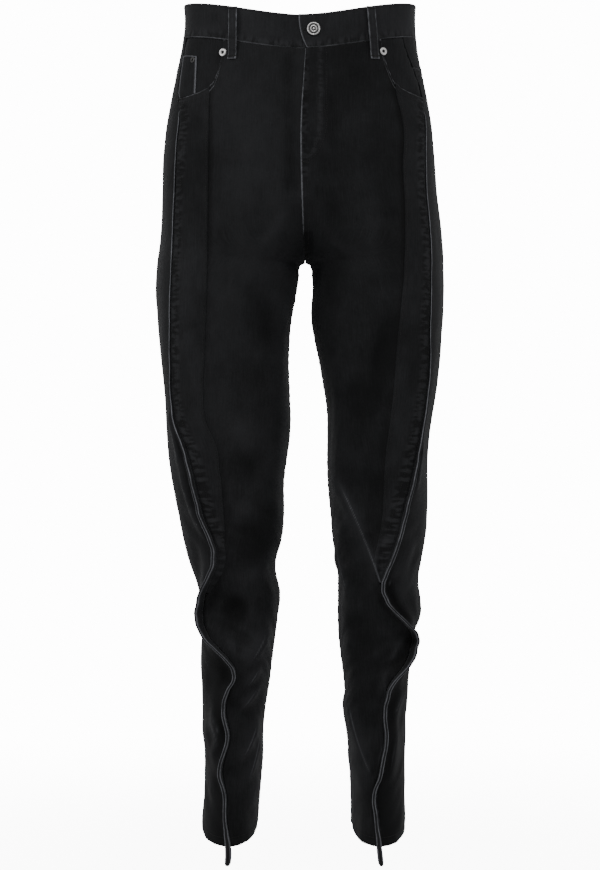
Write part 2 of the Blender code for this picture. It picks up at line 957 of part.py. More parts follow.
def make_yoke(leg, denim):
    """The yoke between the waistband and the back panel."""
    shares = np.array(BACK_COLUMNS)
    turns_at = back_turns(leg, shares)

    def seam_top(turn, down):
        return waist_seam(turn) + 0.1

    def seam_bottom(turn, down):
        return yoke_seam(turn) - SEAM_GAP / 2

    top = settle(shares, turns_at, seam_top, 42.0)
    bottom = settle(shares, turns_at, seam_bottom, 95.0)
    steps = np.linspace(0, 1, 4)[:, None]
    down = top + (bottom - top) * steps
    outer, inner = cloth_wall(leg, down, turns_at(down))
    tuck_under_edge(leg, down[:, 0], 1, outer, inner, 0)
    return add_sheet("yoke_" + leg.name, outer, inner, denim)


def make_edge(leg, denim):
    """The standing edge, a stiff folded welt that ends in a tongue below the hem."""
    rows = leg_rows(leg)[0]
    level = rows[(rows >= LEVEL_TOP) & (rows <= LEVEL_BOTTOM)]
    hem = hem_down(Ring(leg, HEM).edge)
    above_hem = np.linspace(LEVEL_BOTTOM, hem, 4)[1:]
    tongue = np.linspace(hem, TONGUE_END - TONGUE_TIP, 3)[1:]
    tip = np.linspace(TONGUE_END - TONGUE_TIP, TONGUE_END, 3)[1:]
    rows = np.concatenate((level, above_hem, tongue, tip))
    ring = Ring(leg, rows)
    below = np.clip((rows - hem) / (TONGUE_END - hem), 0, 1)
    root = ring.root + (ring.tip - ring.root) * TONGUE_NARROWING * below
    blunt = 1 - 0.6 * np.clip((rows - tip[0]) / TONGUE_TIP, 0, 1) ** 2
    corners = []
    for reach, hand in ((root, -1), (ring.tip, -1), (ring.tip, 1), (root, 1)):
        corners.append(ring.place(ring.edge + hand * blunt * ring.thick / 2 / reach, reach))
    points = np.stack(corners, axis=1).reshape(-1, 3)
    count = len(rows)
    faces = [(0, 1, 2, 3), tuple((count - 1) * 4 + corner for corner in (3, 2, 1, 0))]
    for row in range(count - 1):
        for corner in range(4):
            a = row * 4 + corner
            b = row * 4 + (corner + 1) % 4
            faces.append((a, a + 4, b + 4, b))
    return add_object("edge_" + leg.name, points, faces, denim)


def make_waistband(denim):
    """One strip round the waist, its left end lapped over its right end."""
    half_width = RIGHT_OUTER.read("out", 20.0)
    rows = np.linspace(0, 1, 4)
    lap_edge = (LAP_EDGE_TOP + (LAP_EDGE_BOTTOM - LAP_EDGE_TOP) * rows ** LAP_EDGE_POWER) / half_width
    outer = []
    inner = []

    def column(leg, turn, sink):
        turn = turn + 0 * rows
        down = waist_top(turn) + BAND_HEIGHT * rows
        points = Ring(leg, down).surface(turn)
        normal = outward(leg, down, turn)
        outer.append(points - normal * sink)
        inner.append(points - normal * (sink + BAND_WALL))

    half_round = np.linspace(0, math.pi, BAND_STEPS)
    for index, turn in enumerate(half_round):
        column(LEFT, turn + lap_edge * max(0.0, 1 - index / 3), 0.0)
    under = BAND_WALL + RIDE_GAP
    for turn in half_round[-2::-1]:
        ease = (LAP_EASE - turn * half_width) / (LAP_EASE - LAP_FLAT)
        column(RIGHT, turn, under * np.clip(ease, 0, 1))
    for turn in np.linspace(0, LAP_UNDER / half_width, 4)[1:]:
        column(LEFT, turn, under)
    return add_sheet("waistband", np.stack(outer, axis=1), np.stack(inner, axis=1), denim)


def patch(name, leg, out, down, lift, wall, made_material, back=False):
    """A piece that lies on a panel, or behind it, made from the panel's points moved out."""
    ring = Ring(leg, down)
    turn = ring.turn_for(out, back)
    base = ring.surface(turn)
    normal = outward(leg, down, turn)
    return add_sheet(name, base + normal * (lift + wall), base + normal * lift, made_material)


def make_facing(leg, denim):
    """The hip-pocket facing, behind the scooped mouth."""
    seam = leg.edge.read("out", np.array([60.0, 118.0]))
    shares = np.linspace(0, 1, 9)
    steps = np.linspace(0, 1, 7)[:, None]
    out_top = FACING_INNER + (seam[0] - FACING_INNER - FACING_TO_SEAM) * shares
    inner_bottom = FACING_INNER + FACING_SLANT
    out_bottom = inner_bottom + (seam[1] - inner_bottom - FACING_TO_SEAM) * shares
    top = waist_seam(Ring(leg, 60.0 + 0 * out_top).turn_for(out_top)) + 0.5
    mouth = leg.scoop.read("down", np.maximum(out_bottom, leg.scoop.rows[0, 0]))
    bottom = np.maximum(mouth, FACING_LEAST_DEPTH)
    bottom = bottom + FACING_BEHIND - (FACING_BEHIND + 1.0) * smooth_step(4 * shares - 3)
    down = top + (bottom - top) * steps
    out = out_top + (out_bottom - out_top) * steps
    sink = -(WALL + PATCH_LIFT + PATCH_WALL)
    return patch("pocket_facing_" + leg.name, leg, out, down, sink, PATCH_WALL, denim)


def make_coin_pocket(denim):
    """The small pocket on the right facing."""
    columns = np.linspace(0, 1, 5)
    steps = np.linspace(0, 1, 5)[:, None]
    top = COIN_TOP_INNER + (COIN_TOP_OUTER - COIN_TOP_INNER) * columns
    out = COIN_INNER + COIN_WIDTH * columns + COIN_SLANT * steps
    bottom = RIGHT_SCOOP.read("down", out[-1]) - COIN_TO_MOUTH
    down = top + (bottom - top) * steps
    return patch("coin_pocket", RIGHT, out, down, -WALL, PATCH_WALL, denim)


def make_back_pocket(leg, denim):
    """A plain five-sided patch pocket on the seat."""
    across = np.linspace(0, 1, 9)
    steps = np.linspace(0, 1, 8)[:, None]
    point = BACK_POCKET_POINT * (1 - np.abs(2 * across - 1))
    down = BACK_POCKET_TOP + (BACK_POCKET_SIDE_LENGTH + point) * steps
    narrow = BACK_POCKET_TAPER * steps
    out = BACK_POCKET_INNER + narrow + (BACK_POCKET_WIDTH - 2 * narrow) * across
    return patch("back_pocket_" + leg.name, leg, out, down, PATCH_LIFT, PATCH_WALL, denim, back=True)


def make_fly(denim):
    """The fly piece behind the centre front."""
    steps = np.linspace(0, 1, 12)
    down = FLY_TOP + (FLY_END - FLY_TOP) * steps
    narrow = FLY_TAPER * steps ** 3
    level = 0 * steps
    widths = (
        narrow - FLY_WIDTH_RIGHT,
        level - FLY_INNER_COLUMN,
        level - FLY_SEAM_COLUMN,
        level + FLY_SEAM_COLUMN,
        level + FLY_INNER_COLUMN,
        0.6 * (FLY_WIDTH_LEFT - narrow),
        FLY_WIDTH_LEFT - narrow,
    )
    sink = WALL + FLY_DEPTH
    outer = []
    inner = []
    for out in widths:
        leg = RIGHT if out[0] < 0 else LEFT
        turn = Ring(leg, down).turn_for(np.abs(out))
        base = Ring(leg, down).surface(turn)
        normal = outward(leg, down, turn)
        outer.append(base - normal * sink)
        inner.append(base - normal * (sink + PATCH_WALL))
    return add_sheet("fly_placket", np.stack(outer, axis=1), np.stack(inner, axis=1), denim)


def make_belt_loop(name, leg, turn, lean, denim):
    """A loop that rests on the cloth at both ends and arches over the waistband."""
    shares = np.array(LOOP_ROWS)
    down = waist_top(turn) + 0.5 + (BAND_HEIGHT + LOOP_BELOW_BAND) * shares
    turn = turn + 0 * shares
    bow = np.sin(np.pi * np.clip(shares / 0.86, 0, 1)) ** 0.6
    lift = LOOP_REST + LOOP_ARCH * bow
    middle = Ring(leg, down).surface(turn)
    normal = outward(leg, down, turn)
    along = np.cross(normal, np.array([0.0, 0.0, 1.0]))
    along = along / np.linalg.norm(along, axis=-1, keepdims=True)
    middle = middle + along * (lean * shares)[:, None] + normal * lift[:, None]
    half = along * LOOP_WIDTH / 2
    inner = np.stack((middle - half, middle + half), axis=1)
    outer = inner + normal[:, None, :] * LOOP_WALL
    return add_sheet(name, outer, inner, denim)


def add_turned(name, leg, out, down, sink, profile, metal):
    """A turned metal piece on the front: (radius, height) pairs spun about the cloth's normal."""
    down = np.array([float(down)])
    turn = Ring(leg, down).turn_for(out)
    axis = outward(leg, down, turn)[0]
    centre = Ring(leg, down).surface(turn)[0] - axis * sink
    first = np.cross(axis, np.array([0.0, 0.0, 1.0]))
    first = first / np.linalg.norm(first)
    second = np.cross(axis, first)
    points = [centre + axis * profile[0][1]]
    for radius, height in profile[1:-1]:
        for step in range(ROUND_SIDES):
            angle = math.tau * step / ROUND_SIDES
            spoke = first * math.cos(angle) + second * math.sin(angle)
            points.append(centre + spoke * radius + axis * height)
    points.append(centre + axis * profile[-1][1])
    last = len(points) - 1
    rings = len(profile) - 2
    top_ring = 1 + (rings - 1) * ROUND_SIDES
    faces = []
    for step in range(ROUND_SIDES):
        after = (step + 1) % ROUND_SIDES
        faces.append((0, 1 + step, 1 + after))
        faces.append((last, top_ring + after, top_ring + step))
        for ring in range(rings - 1):
            low = 1 + ring * ROUND_SIDES
            high = low + ROUND_SIDES
            faces.append((low + step, high + step, high + after, low + after))
    return add_object(name, np.array(points), faces, metal)


def make_button(metal):
    """The waistband button, with a raised rim and a short shank."""
    back = RIDE_GAP + BUTTON_SHANK
    face = RIDE_GAP + BUTTON_THICKNESS
    dish = face - BUTTON_DISH
    profile = (
        (0.0, RIDE_GAP),
        (BUTTON_SHANK_RADIUS, RIDE_GAP),
        (BUTTON_SHANK_RADIUS, back),
        (BUTTON_RADIUS - 0.5, back),
        (BUTTON_RADIUS, back + 0.7),
        (BUTTON_RADIUS - 0.4, face),
        (BUTTON_RADIUS - BUTTON_RIM, face),
        (BUTTON_RADIUS - BUTTON_RIM - 0.6, dish),
        (0.0, dish),
    )
    return add_turned("button", LEFT, 15.3, 41.5, 0.0, profile, metal)


def make_rivet(name, leg, out, down, radius, sink, metal):
    """A domed rivet cap."""
    profile = (
        (0.0, RIDE_GAP),
        (radius, RIDE_GAP),
        (radius, RIDE_GAP + 0.5),
        (radius * 0.72, RIDE_GAP + RIVET_THICKNESS * 0.8),
        (radius * 0.3, RIDE_GAP + RIVET_THICKNESS),
        (0.0, RIDE_GAP + RIVET_THICKNESS),
    )
    return add_turned(name, leg, out, down, sink, profile, metal)


def main():
    """Clears the scene and makes every piece."""
    for item in list(bpy.data.objects):
        bpy.data.objects.remove(item, do_unlink=True)

    denim = material("washed_black_denim", (0.022, 0.023, 0.026), 0.85)
    strip_denim = material("washed_black_denim_strip", (0.028, 0.029, 0.032), 0.85)
    edge_denim = material("worn_edge_denim", (0.09, 0.09, 0.095), 0.9)
    band_denim = material("waistband_denim", (0.03, 0.031, 0.034), 0.85)
    pocket_denim = material("pocket_denim", (0.026, 0.027, 0.03), 0.85)
    silver = material("nickel_silver", (0.62, 0.62, 0.6), 0.35, 1.0)
    dark_metal = material("darkened_metal", (0.16, 0.16, 0.16), 0.45, 1.0)

    for leg in LEGS:
        make_front(leg, denim)
        make_strip(leg, strip_denim)
        make_back(leg, denim)
        make_yoke(leg, denim)
        make_edge(leg, edge_denim)
        make_facing(leg, pocket_denim)
        make_back_pocket(leg, pocket_denim)
    make_waistband(band_denim)
    make_coin_pocket(pocket_denim)
    make_fly(denim)
    for name, leg, turn, lean in BELT_LOOPS:
        make_belt_loop("belt_loop_" + name, leg, turn, lean, band_denim)
    make_button(silver)
    make_rivet("rivet_pocket_right", RIGHT, 101.0, 69.0, RIVET_RADIUS, 0.0, silver)
    make_rivet("rivet_pocket_left", LEFT, 105.0, 67.0, RIVET_RADIUS, 0.0, silver)
    make_rivet("rivet_coin_pocket", RIGHT, 141.0, 74.5, SMALL_RIVET_RADIUS, COIN_RIVET_SINK, dark_metal)


main()
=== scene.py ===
"""Looks for the banana jeans: denim panels with their folds, seams and stitching, the metal,
and a plain studio.

Tables are in millimetres. "down" is the distance below the waist, "out" the distance from the
middle plane towards that leg's own side, and a "turn" goes round a slice of a leg in radians:
0 faces the front, a quarter turn faces outwards and half a turn faces the back. "beside" is the
distance round a slice from the standing edge, more than 0 behind it.
"""

import math

import bmesh
import bpy
import numpy as np
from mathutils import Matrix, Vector
from mathutils.bvhtree import BVHTree


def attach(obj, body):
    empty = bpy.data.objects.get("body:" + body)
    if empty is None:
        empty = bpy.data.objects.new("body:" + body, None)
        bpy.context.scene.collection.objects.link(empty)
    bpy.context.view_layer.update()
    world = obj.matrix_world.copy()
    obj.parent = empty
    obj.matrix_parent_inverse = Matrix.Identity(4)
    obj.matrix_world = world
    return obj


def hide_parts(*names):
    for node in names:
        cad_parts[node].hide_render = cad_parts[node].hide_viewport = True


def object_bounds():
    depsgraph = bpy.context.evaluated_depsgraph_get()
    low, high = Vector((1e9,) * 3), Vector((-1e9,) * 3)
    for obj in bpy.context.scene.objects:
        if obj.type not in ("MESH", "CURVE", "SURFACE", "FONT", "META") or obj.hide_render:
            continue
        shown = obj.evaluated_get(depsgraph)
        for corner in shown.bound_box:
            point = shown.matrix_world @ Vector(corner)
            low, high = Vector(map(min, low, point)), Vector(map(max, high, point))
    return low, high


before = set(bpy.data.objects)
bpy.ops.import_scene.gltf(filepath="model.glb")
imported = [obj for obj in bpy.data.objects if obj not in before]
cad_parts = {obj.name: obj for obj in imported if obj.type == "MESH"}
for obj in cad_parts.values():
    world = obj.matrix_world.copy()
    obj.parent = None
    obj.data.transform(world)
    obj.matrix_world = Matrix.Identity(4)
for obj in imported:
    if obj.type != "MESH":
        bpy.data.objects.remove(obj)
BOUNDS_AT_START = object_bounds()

MM = 0.001

# Cloth
WALL = 1.6
BAND_WALL = 2.6
PATCH_WALL = 1.3
SEAM_GAP = 0.34
RIDE_GAP = 0.32

# Whole figure
CROTCH = 333.0
CROTCH_BLEND_TOP = 120.0
CROTCH_BLEND_POWER = 2.5
SLICE_POWER = 2.2
BAND_HEIGHT = 44.0
WAIST_SIDE = -4.0
WAIST_FRONT_DIP = 26.0
WAIST_FRONT_POWER = 1.8
WAIST_BACK_RISE = 5.0
LEVEL_TOP = 140.0
LEVEL_BOTTOM = 1010.0
HEM = 1072.0
HEM_FRONT_DIP = 20.0
HEM_BACK_RISE = 8.0
TONGUE_END = 1116.0

# Searches along a slice and down a column
HALVINGS = 24
SETTLINGS = 14
SMALL_TURN = 0.004
SMALL_DOWN = 0.8
SEAM_COLUMN_POWER = 10
EVEN_SEAM_LIMIT = 0.93
EVEN_SEAM_RUN = 150.0
EDGE_LEAST_TURN = -0.6
STRIP_END_FIRST = 730.0
STRIP_END_LAST = 800.0

# The standing edge
EDGE_SINK = 0.3
EDGE_TALL_SHARE = 0.46
EDGE_SPREAD_FRONT = 0.62
EDGE_SPREAD_BACK = 0.50
TONGUE_NARROWING = 0.55
TONGUE_TIP = 6.0
STRIP_LEAST_WIDTH = 2.2
FOLD_CLEAR_OF_EDGE = 0.16
FOLD_CLEAR_START = 0.3
FOLD_FACING_GAIN = 3.0

# Yoke seam, at the side and at the centre back
YOKE_SIDE = 84.0
YOKE_CENTRE = 112.0
YOKE_LENGTH = 250.0

# Lap of the waistband
LAP_EDGE_TOP = -2.2
LAP_EDGE_BOTTOM = 14.0
LAP_EDGE_POWER = 2.1
LAP_UNDER = 38.0
LAP_EASE = 36.0
LAP_FLAT = 10.0

# Fly
FLY_WIDTH_LEFT = 38.0
FLY_WIDTH_RIGHT = 22.0
FLY_TOP = 68.0
FLY_END = 234.0
FLY_DEPTH = 0.8
FLY_TAPER = 12.0
FLY_SEWN = 33.0
FLY_CURVE_TOP = 155.0
FLY_CURVE_END = 212.0
FLY_TACK = 213.0
FLY_SIDE_TACK = 150.0

# Pocket facings and pockets
FACING_BEHIND = 14.0
FACING_INNER = 96.0
FACING_LEAST_DEPTH = 96.0
FACING_SLANT = 6.0
FACING_UNDER = 6.0
FACING_ABOVE = 6.0
PATCH_LIFT = 0.6
COIN_INNER = 136.5
COIN_WIDTH = 16.5
COIN_SLANT = 1.5
COIN_TO_MOUTH = 1.2
COIN_TOP_INNER = 70.0
COIN_TOP_OUTER = 66.0
COIN_RIVET_SINK = 0.3
BACK_POCKET_TOP = 134.0
BACK_POCKET_SIDE_LENGTH = 118.0
BACK_POCKET_POINT = 24.0
BACK_POCKET_INNER = 34.0
BACK_POCKET_WIDTH = 113.0
BACK_POCKET_TAPER = 7.0

# Belt loops
LOOP_WIDTH = 12.0
LOOP_WALL = 1.8
LOOP_REST = 0.7
LOOP_ARCH = 2.6
LOOP_BELOW_BAND = 24.0
LOOP_LENGTH = BAND_HEIGHT + LOOP_BELOW_BAND

# Metal
RIVET_RADIUS = 5.2
RIVET_THICKNESS = 1.7
COIN_RIVET_RADIUS = 4.0

# Fine shape of the cloth
ROUND_OVER = 1.0
SEAM_LAP = 1.4
LAP_RAISE = 0.55
STRIP_RAISE = 1.4
FLY_RAISE = 1.5
RIM_STEPS = (0.0, 0.3, 0.8, 1.6, 2.8)
ROW_STEP = 2.35
COLUMN_STEP = 2.8
# How much fold height shows in the colour: ridges paler as washed-out wear, troughs darker as
# painted shade
RELIEF_WASH_AND_SHADE = 0.1
CREASE_GAIN = 1.8

# The hollow behind the left standing edge at the knee, where painted shade darkens the back panel
LENS_TOP = 742.0
LENS_BOTTOM = 816.0
LENS_WIDTH = 13.0

# Yarn and thread: stitches are given as pitch, length, width and height
TWILL_PITCH = 0.0011
YARN_PITCH = 0.00055
THREAD_ABOVE = 0.12
STITCH_SIZES = ("Pitch", "Length", "Width", "Height")
TOPSTITCH = (3.1, 2.5, 0.72, 0.55)
BARTACK = (0.52, 0.6, 2.1, 0.62)
TACK_LENGTH = 9.0
LOOP_TACK_LENGTH = 10.5

# Stitched lines: how far they lie from their seam
FIRST_LINE = 2.2
SECOND_LINE = 8.2
MOUTH_LINES = (2.2, 8.4)
BAND_LINES = (3.0, BAND_HEIGHT - 2.6)
HEM_LINE = 11.5

# Camera and studio, in metres
CAMERA_PLACE = (-0.002, -3.4, -0.561)
CAMERA_SENSOR = 36.0
CAMERA_LENS = 106.6
FLOOR_DROP = 0.0015
FLOOR_RADIUS = 1.6
BACKDROP_RADIUS = 30.0
BACKDROP_LIGHT = 14.0
AMBIENT = 0.3


class Table:
    """Rows of sizes in millimetres, read by a column's name on a smooth curve through the rows."""

    def __init__(self, columns, rows):
        self.columns = columns
        self.rows = np.array(rows, dtype=float)

    def read(self, name, at):
        knots = self.rows[:, 0]
        values = self.rows[:, self.columns.index(name)]
        slopes = np.gradient(values, knots)
        at = np.clip(np.asarray(at, dtype=float), knots[0], knots[-1])
        low = np.clip(np.searchsorted(knots, at, side="right") - 1, 0, len(knots) - 2)
        step = knots[low + 1] - knots[low]
        share = (at - knots[low]) / step
        start = values[low] + slopes[low] * step * share
        end = values[low + 1] - slopes[low + 1] * step * (1 - share)
        ease = share * share * (3 - 2 * share)
        line = values[low] * (1 - share) + values[low + 1] * share
        bent = start * (1 - ease) + end * ease
        return np.where(step > 0, bent, line)


CENTRE_SEAM = Table(("down", "x"), (
    (-20, -2), (66, -1), (200, 0), (290, 3), (333, 5), (1200, 5),
))

# How far the left front's edge of the fly lies past the centre seam
FLY_SHIFT = Table(("down", "x"), (
    (60, 7.6), (108, 4.2), (159, 0.9), (196, 0), (230, 0), (1200, 0),
))

# Where the middle of a leg lies, as a share of the width from the centre seam
CENTRES = Table(("down", "share"), (
    (-20, 0), (120, 0), (160, 0.015), (200, 0.078), (240, 0.19), (270, 0.29), (300, 0.39),
    (320, 0.45), (340, 0.49), (365, 0.518), (400, 0.54), (450, 0.552), (550, 0.56), (620, 0.578),
    (680, 0.587), (731, 0.613), (770, 0.613), (826, 0.635), (880, 0.665), (921, 0.69), (985, 0.705),
    (1069, 0.73), (1120, 0.735),
))

DEPTHS = Table(("down", "front", "back"), (
    (-20, -103, 97), (45, -106, 104), (100, -110, 116), (160, -114, 127), (220, -115, 134),
    (280, -113, 134), (333, -110, 128), (380, -107, 120), (440, -102, 109), (500, -96, 99),
    (560, -90, 91), (620, -86, 84), (680, -84, 78), (740, -83, 74), (800, -82, 73), (860, -80, 72),
    (920, -77, 71), (980, -74, 70), (1040, -72, 68), (1120, -70, 66),
))

RIGHT_OUTER = Table(("down", "out"), (
    (-20, 156), (45, 157), (66, 161), (98, 168), (130, 174), (177, 181), (240, 184), (304, 187),
    (351, 192), (400, 190.5), (446, 187), (510, 180.5), (573, 177), (605, 173.5), (636, 168),
    (668, 161.5), (700, 155), (731, 147), (763, 136), (800, 131), (842, 132.5), (890, 131.5),
    (937, 130), (990, 127), (1025, 128), (1069, 131), (1120, 131),
))

LEFT_OUTER = Table(("down", "out"), (
    (-20, 151), (45, 152), (66, 155), (98, 162), (130, 168), (177, 174), (240, 179), (304, 186),
    (345, 188), (383, 188), (430, 185), (478, 181), (510, 177), (541, 172), (573, 168),
    (636, 166.5), (668, 165.5), (700, 162.5), (731, 157), (752, 154), (779, 157), (800, 156),
    (820, 148), (858, 144), (889, 140.5), (953, 137), (1069, 136.5), (1120, 136.5),
))

RIGHT_INNER = Table(("down", "out"), (
    (333, -5), (335, 0), (339, 2.2), (351, 3.6), (367, 6), (383, 8.6), (414, 13.9), (440, 16),
    (510, 15.5), (557, 15.2), (589, 19), (620, 23), (668, 23.4), (700, 27), (731, 34.5),
    (770, 28.5), (795, 31), (826, 35), (858, 39), (890, 43), (921, 48), (985, 51), (1069, 57.4),
    (1120, 59),
))

LEFT_INNER = Table(("down", "out"), (
    (333, 5), (335, 10), (339, 12.2), (351, 14), (367, 15), (399, 13), (430, 16.5), (462, 23),
    (494, 28.5), (526, 33.3), (557, 34.3), (620, 34.6), (668, 38.9), (700, 41.5), (731, 46.9),
    (763, 48.2), (810, 48.4), (842, 50.8), (873, 54.8), (905, 57.4), (937, 58.8), (985, 62.5),
    (1069, 65.3), (1120, 66),
))

RIGHT_EDGE = Table(("down", "out", "proud", "thick"), (
    (-20, 142, 0, 0.4), (66, 155, 0, 0.4), (120, 161.5, 0.3, 0.5), (140, 160, 3, 2.4),
    (180, 163, 4, 2.6), (249, 166, 5, 2.6), (322, 168.5, 5, 2.6), (415, 171.6, 5, 2.6),
    (469, 171.7, 6, 2.7), (525, 169.4, 8, 3), (549, 165.3, 10, 3.2), (571, 157, 12, 3.4),
    (598, 149, 14, 3.6), (650, 136.3, 17, 4), (674, 129, 19, 4.2), (697, 118.7, 21, 4.4),
    (718, 114.6, 24, 4.4), (741, 120.3, 26, 4.4), (761, 130.6, 27, 4.4), (780, 135.8, 27, 4.4),
    (797, 137.1, 27, 4.4), (813, 132.5, 27, 4.4), (836, 111.3, 28, 4.4), (852, 94.6, 28, 4.4),
    (866, 87, 27, 4.4), (889, 95.4, 25, 4.4), (914, 101.4, 24, 4.4), (947, 95, 23, 4.4),
    (995, 106.2, 22, 4.4), (1026, 99.5, 20, 4.4), (1058, 99.2, 18, 4.4), (1074, 96.8, 17.5, 5.6),
    (1090, 94.5, 17, 7.4), (1120, 95.5, 16, 7.8),
))

LEFT_EDGE = Table(("down", "out", "proud", "thick"), (
    (-20, 128, 0, 0.4), (40, 131, 0, 0.4), (67, 139, 0, 0.4), (92, 149.5, 0, 0.4),
    (116, 157.5, 0.2, 0.5), (140, 161, 3, 2.4), (193, 162.5, 4, 2.6), (245, 163.4, 5, 2.6),
    (313, 168.4, 5, 2.6), (369, 168.6, 5, 2.6), (432, 167.4, 5.5, 2.6), (469, 167.6, 6, 2.7),
    (506, 165, 8, 3), (543, 159.8, 10, 3.2), (586, 152.8, 13, 3.5), (627, 144.6, 15, 3.9),
    (663, 135.1, 18, 4.2), (700, 125.2, 21, 4.4), (726, 115.2, 24, 4.4), (742, 108, 26, 4.4),
    (755, 104.9, 27, 4.4), (770, 108.6, 28, 4.4), (786, 119.5, 28, 4.4), (805, 139, 26, 4.4),
    (821, 150.5, 24, 4.4), (836, 148.9, 25, 4.4), (857, 139.5, 26, 4.4), (880, 118.5, 26, 4.4),
    (899, 111.4, 25, 4.4), (919, 107.8, 24, 4.4), (948, 109.3, 23, 4.4), (979, 105.2, 22, 4.4),
    (1003, 100.1, 21, 4.4), (1030, 92.8, 20, 4.4), (1049, 95.2, 18, 4.4), (1070, 97.2, 17.5, 5.2),
    (1087, 99, 17, 6.6), (1120, 103, 16, 7.0),
))

RIGHT_STRIP = Table(("down", "out"), (
    (100, 120), (184, 120.7), (261, 121.3), (388, 123), (465, 125.8), (516, 127.2), (535, 126),
    (552, 120.9), (567, 114), (606, 106.9), (645, 103), (700, 100.8), (730, 100.8), (748, 108.5),
    (772, 127), (800, 150),
))

LEFT_STRIP = Table(("down", "out"), (
    (100, 122), (124, 124), (144, 129), (217, 131.5), (295, 134), (337, 133), (388, 129.5),
    (439, 124.4), (503, 119.5), (558, 113.2), (589, 109.4), (636, 106.9), (672, 104.5), (700, 99.5),
    (725, 95), (743, 98), (760, 105), (780, 122), (800, 150),
))

RIGHT_SCOOP = Table(("out", "down"), (
    (101.5, 60), (103, 74), (105.5, 84), (109.5, 97), (116.5, 109), (126.5, 116.5), (138, 120),
    (150, 122.5), (170, 122.5),
))

LEFT_SCOOP = Table(("out", "down"), (
    (102.5, 60), (106.5, 74), (110.5, 85), (115.8, 98.5), (123.7, 109.5), (133, 115), (145, 119),
    (156, 121.5), (170, 122.5),
))

# Soft folds: facing (1 front, -1 back), both ends as (down, out), sideways bow, the width
# towards the middle plane and away from it, and the height
RIGHT_FOLDS = (
    (1, 420, 150, 560, 128, 4, 12, 9, 1.6),
    (1, 130, 60, 330, 96, 6, 16, 16, 1.2),
    (1, 560, 30, 690, 92, 8, 16, 12, 2.2),
    (1, 700, 30, 760, 78, 4, 9, 12, 2.6),
    (1, 783, 106, 798, 66, 0, 15, 17, -6.0),
    (1, 806, 40, 860, 78, 4, 10, 13, 6.0),
    (1, 808, 92, 862, 87, -2, 5, 6, 3.0),
    (1, 858, 52, 888, 80, 2, 5, 6, 3.0),
    (1, 876, 50, 920, 84, 3, 6, 8, 4.0),
    (1, 922, 56, 990, 86, 5, 7, 10, 4.6),
    (1, 952, 56, 1020, 80, 4, 6, 8, 3.4),
    (1, 1016, 60, 1058, 76, 2, 5, 6, 2.2),
    (1, 912, 121, 960, 102, 2, 8, 7, 3.2),
    (1, 926, 127, 990, 107, -3, 8, 7, 3.0),
    (1, 990, 124, 1036, 113, 2, 7, 6, 2.4),
    (-1, 420, 40, 500, 150, 10, 20, 16, 3.0),
    (-1, 640, 36, 705, 140, 8, 17, 13, 5.0),
    (-1, 700, 60, 742, 130, 5, 12, 9, 3.2),
    (-1, 735, 40, 780, 126, 7, 16, 12, 5.0),
    (-1, 820, 42, 885, 124, 6, 15, 11, 4.0),
    (-1, 905, 50, 950, 120, 5, 12, 9, 3.2),
    (-1, 985, 62, 1030, 116, 4, 10, 8, 2.4),
    (-1, 236, 20, 330, 120, 14, 13, 10, 2.4),
    (-1, 290, 16, 380, 92, 12, 10, 8, 2.0),
    (1, 262, 12, 330, 62, 5, 8, 7, 1.8),
    # Broad ones of the thighs, the seat and the front
    (1, 355, 70, 455, 44, 8, 16, 20, -3.4),
    (1, 365, 38, 440, 26, 4, 9, 12, 2.6),
    (1, 470, 88, 495, 40, 5, 14, 16, -2.6),
    (1, 585, 100, 625, 52, 6, 13, 16, -3.2),
    (1, 545, 96, 590, 50, 6, 14, 16, 2.4),
    (1, 660, 70, 745, 60, 3, 22, 24, -3.2),
    (1, 775, 104, 790, 62, 0, 14, 15, -4.0),
    (1, 64, 16, 262, 13, 0, 9, 9, -3.0),
    (1, 73, 88, 92, 78, 0, 3, 3, 0.9),
    (1, 72, 94, 100, 88, 1, 3, 3, 1.0),
    (-1, 150, 30, 250, 70, 10, 20, 22, 2.6),
    (-1, 390, 60, 520, 80, 8, 20, 24, -3.0),
    (-1, 540, 40, 640, 90, 8, 18, 20, 3.0),
)
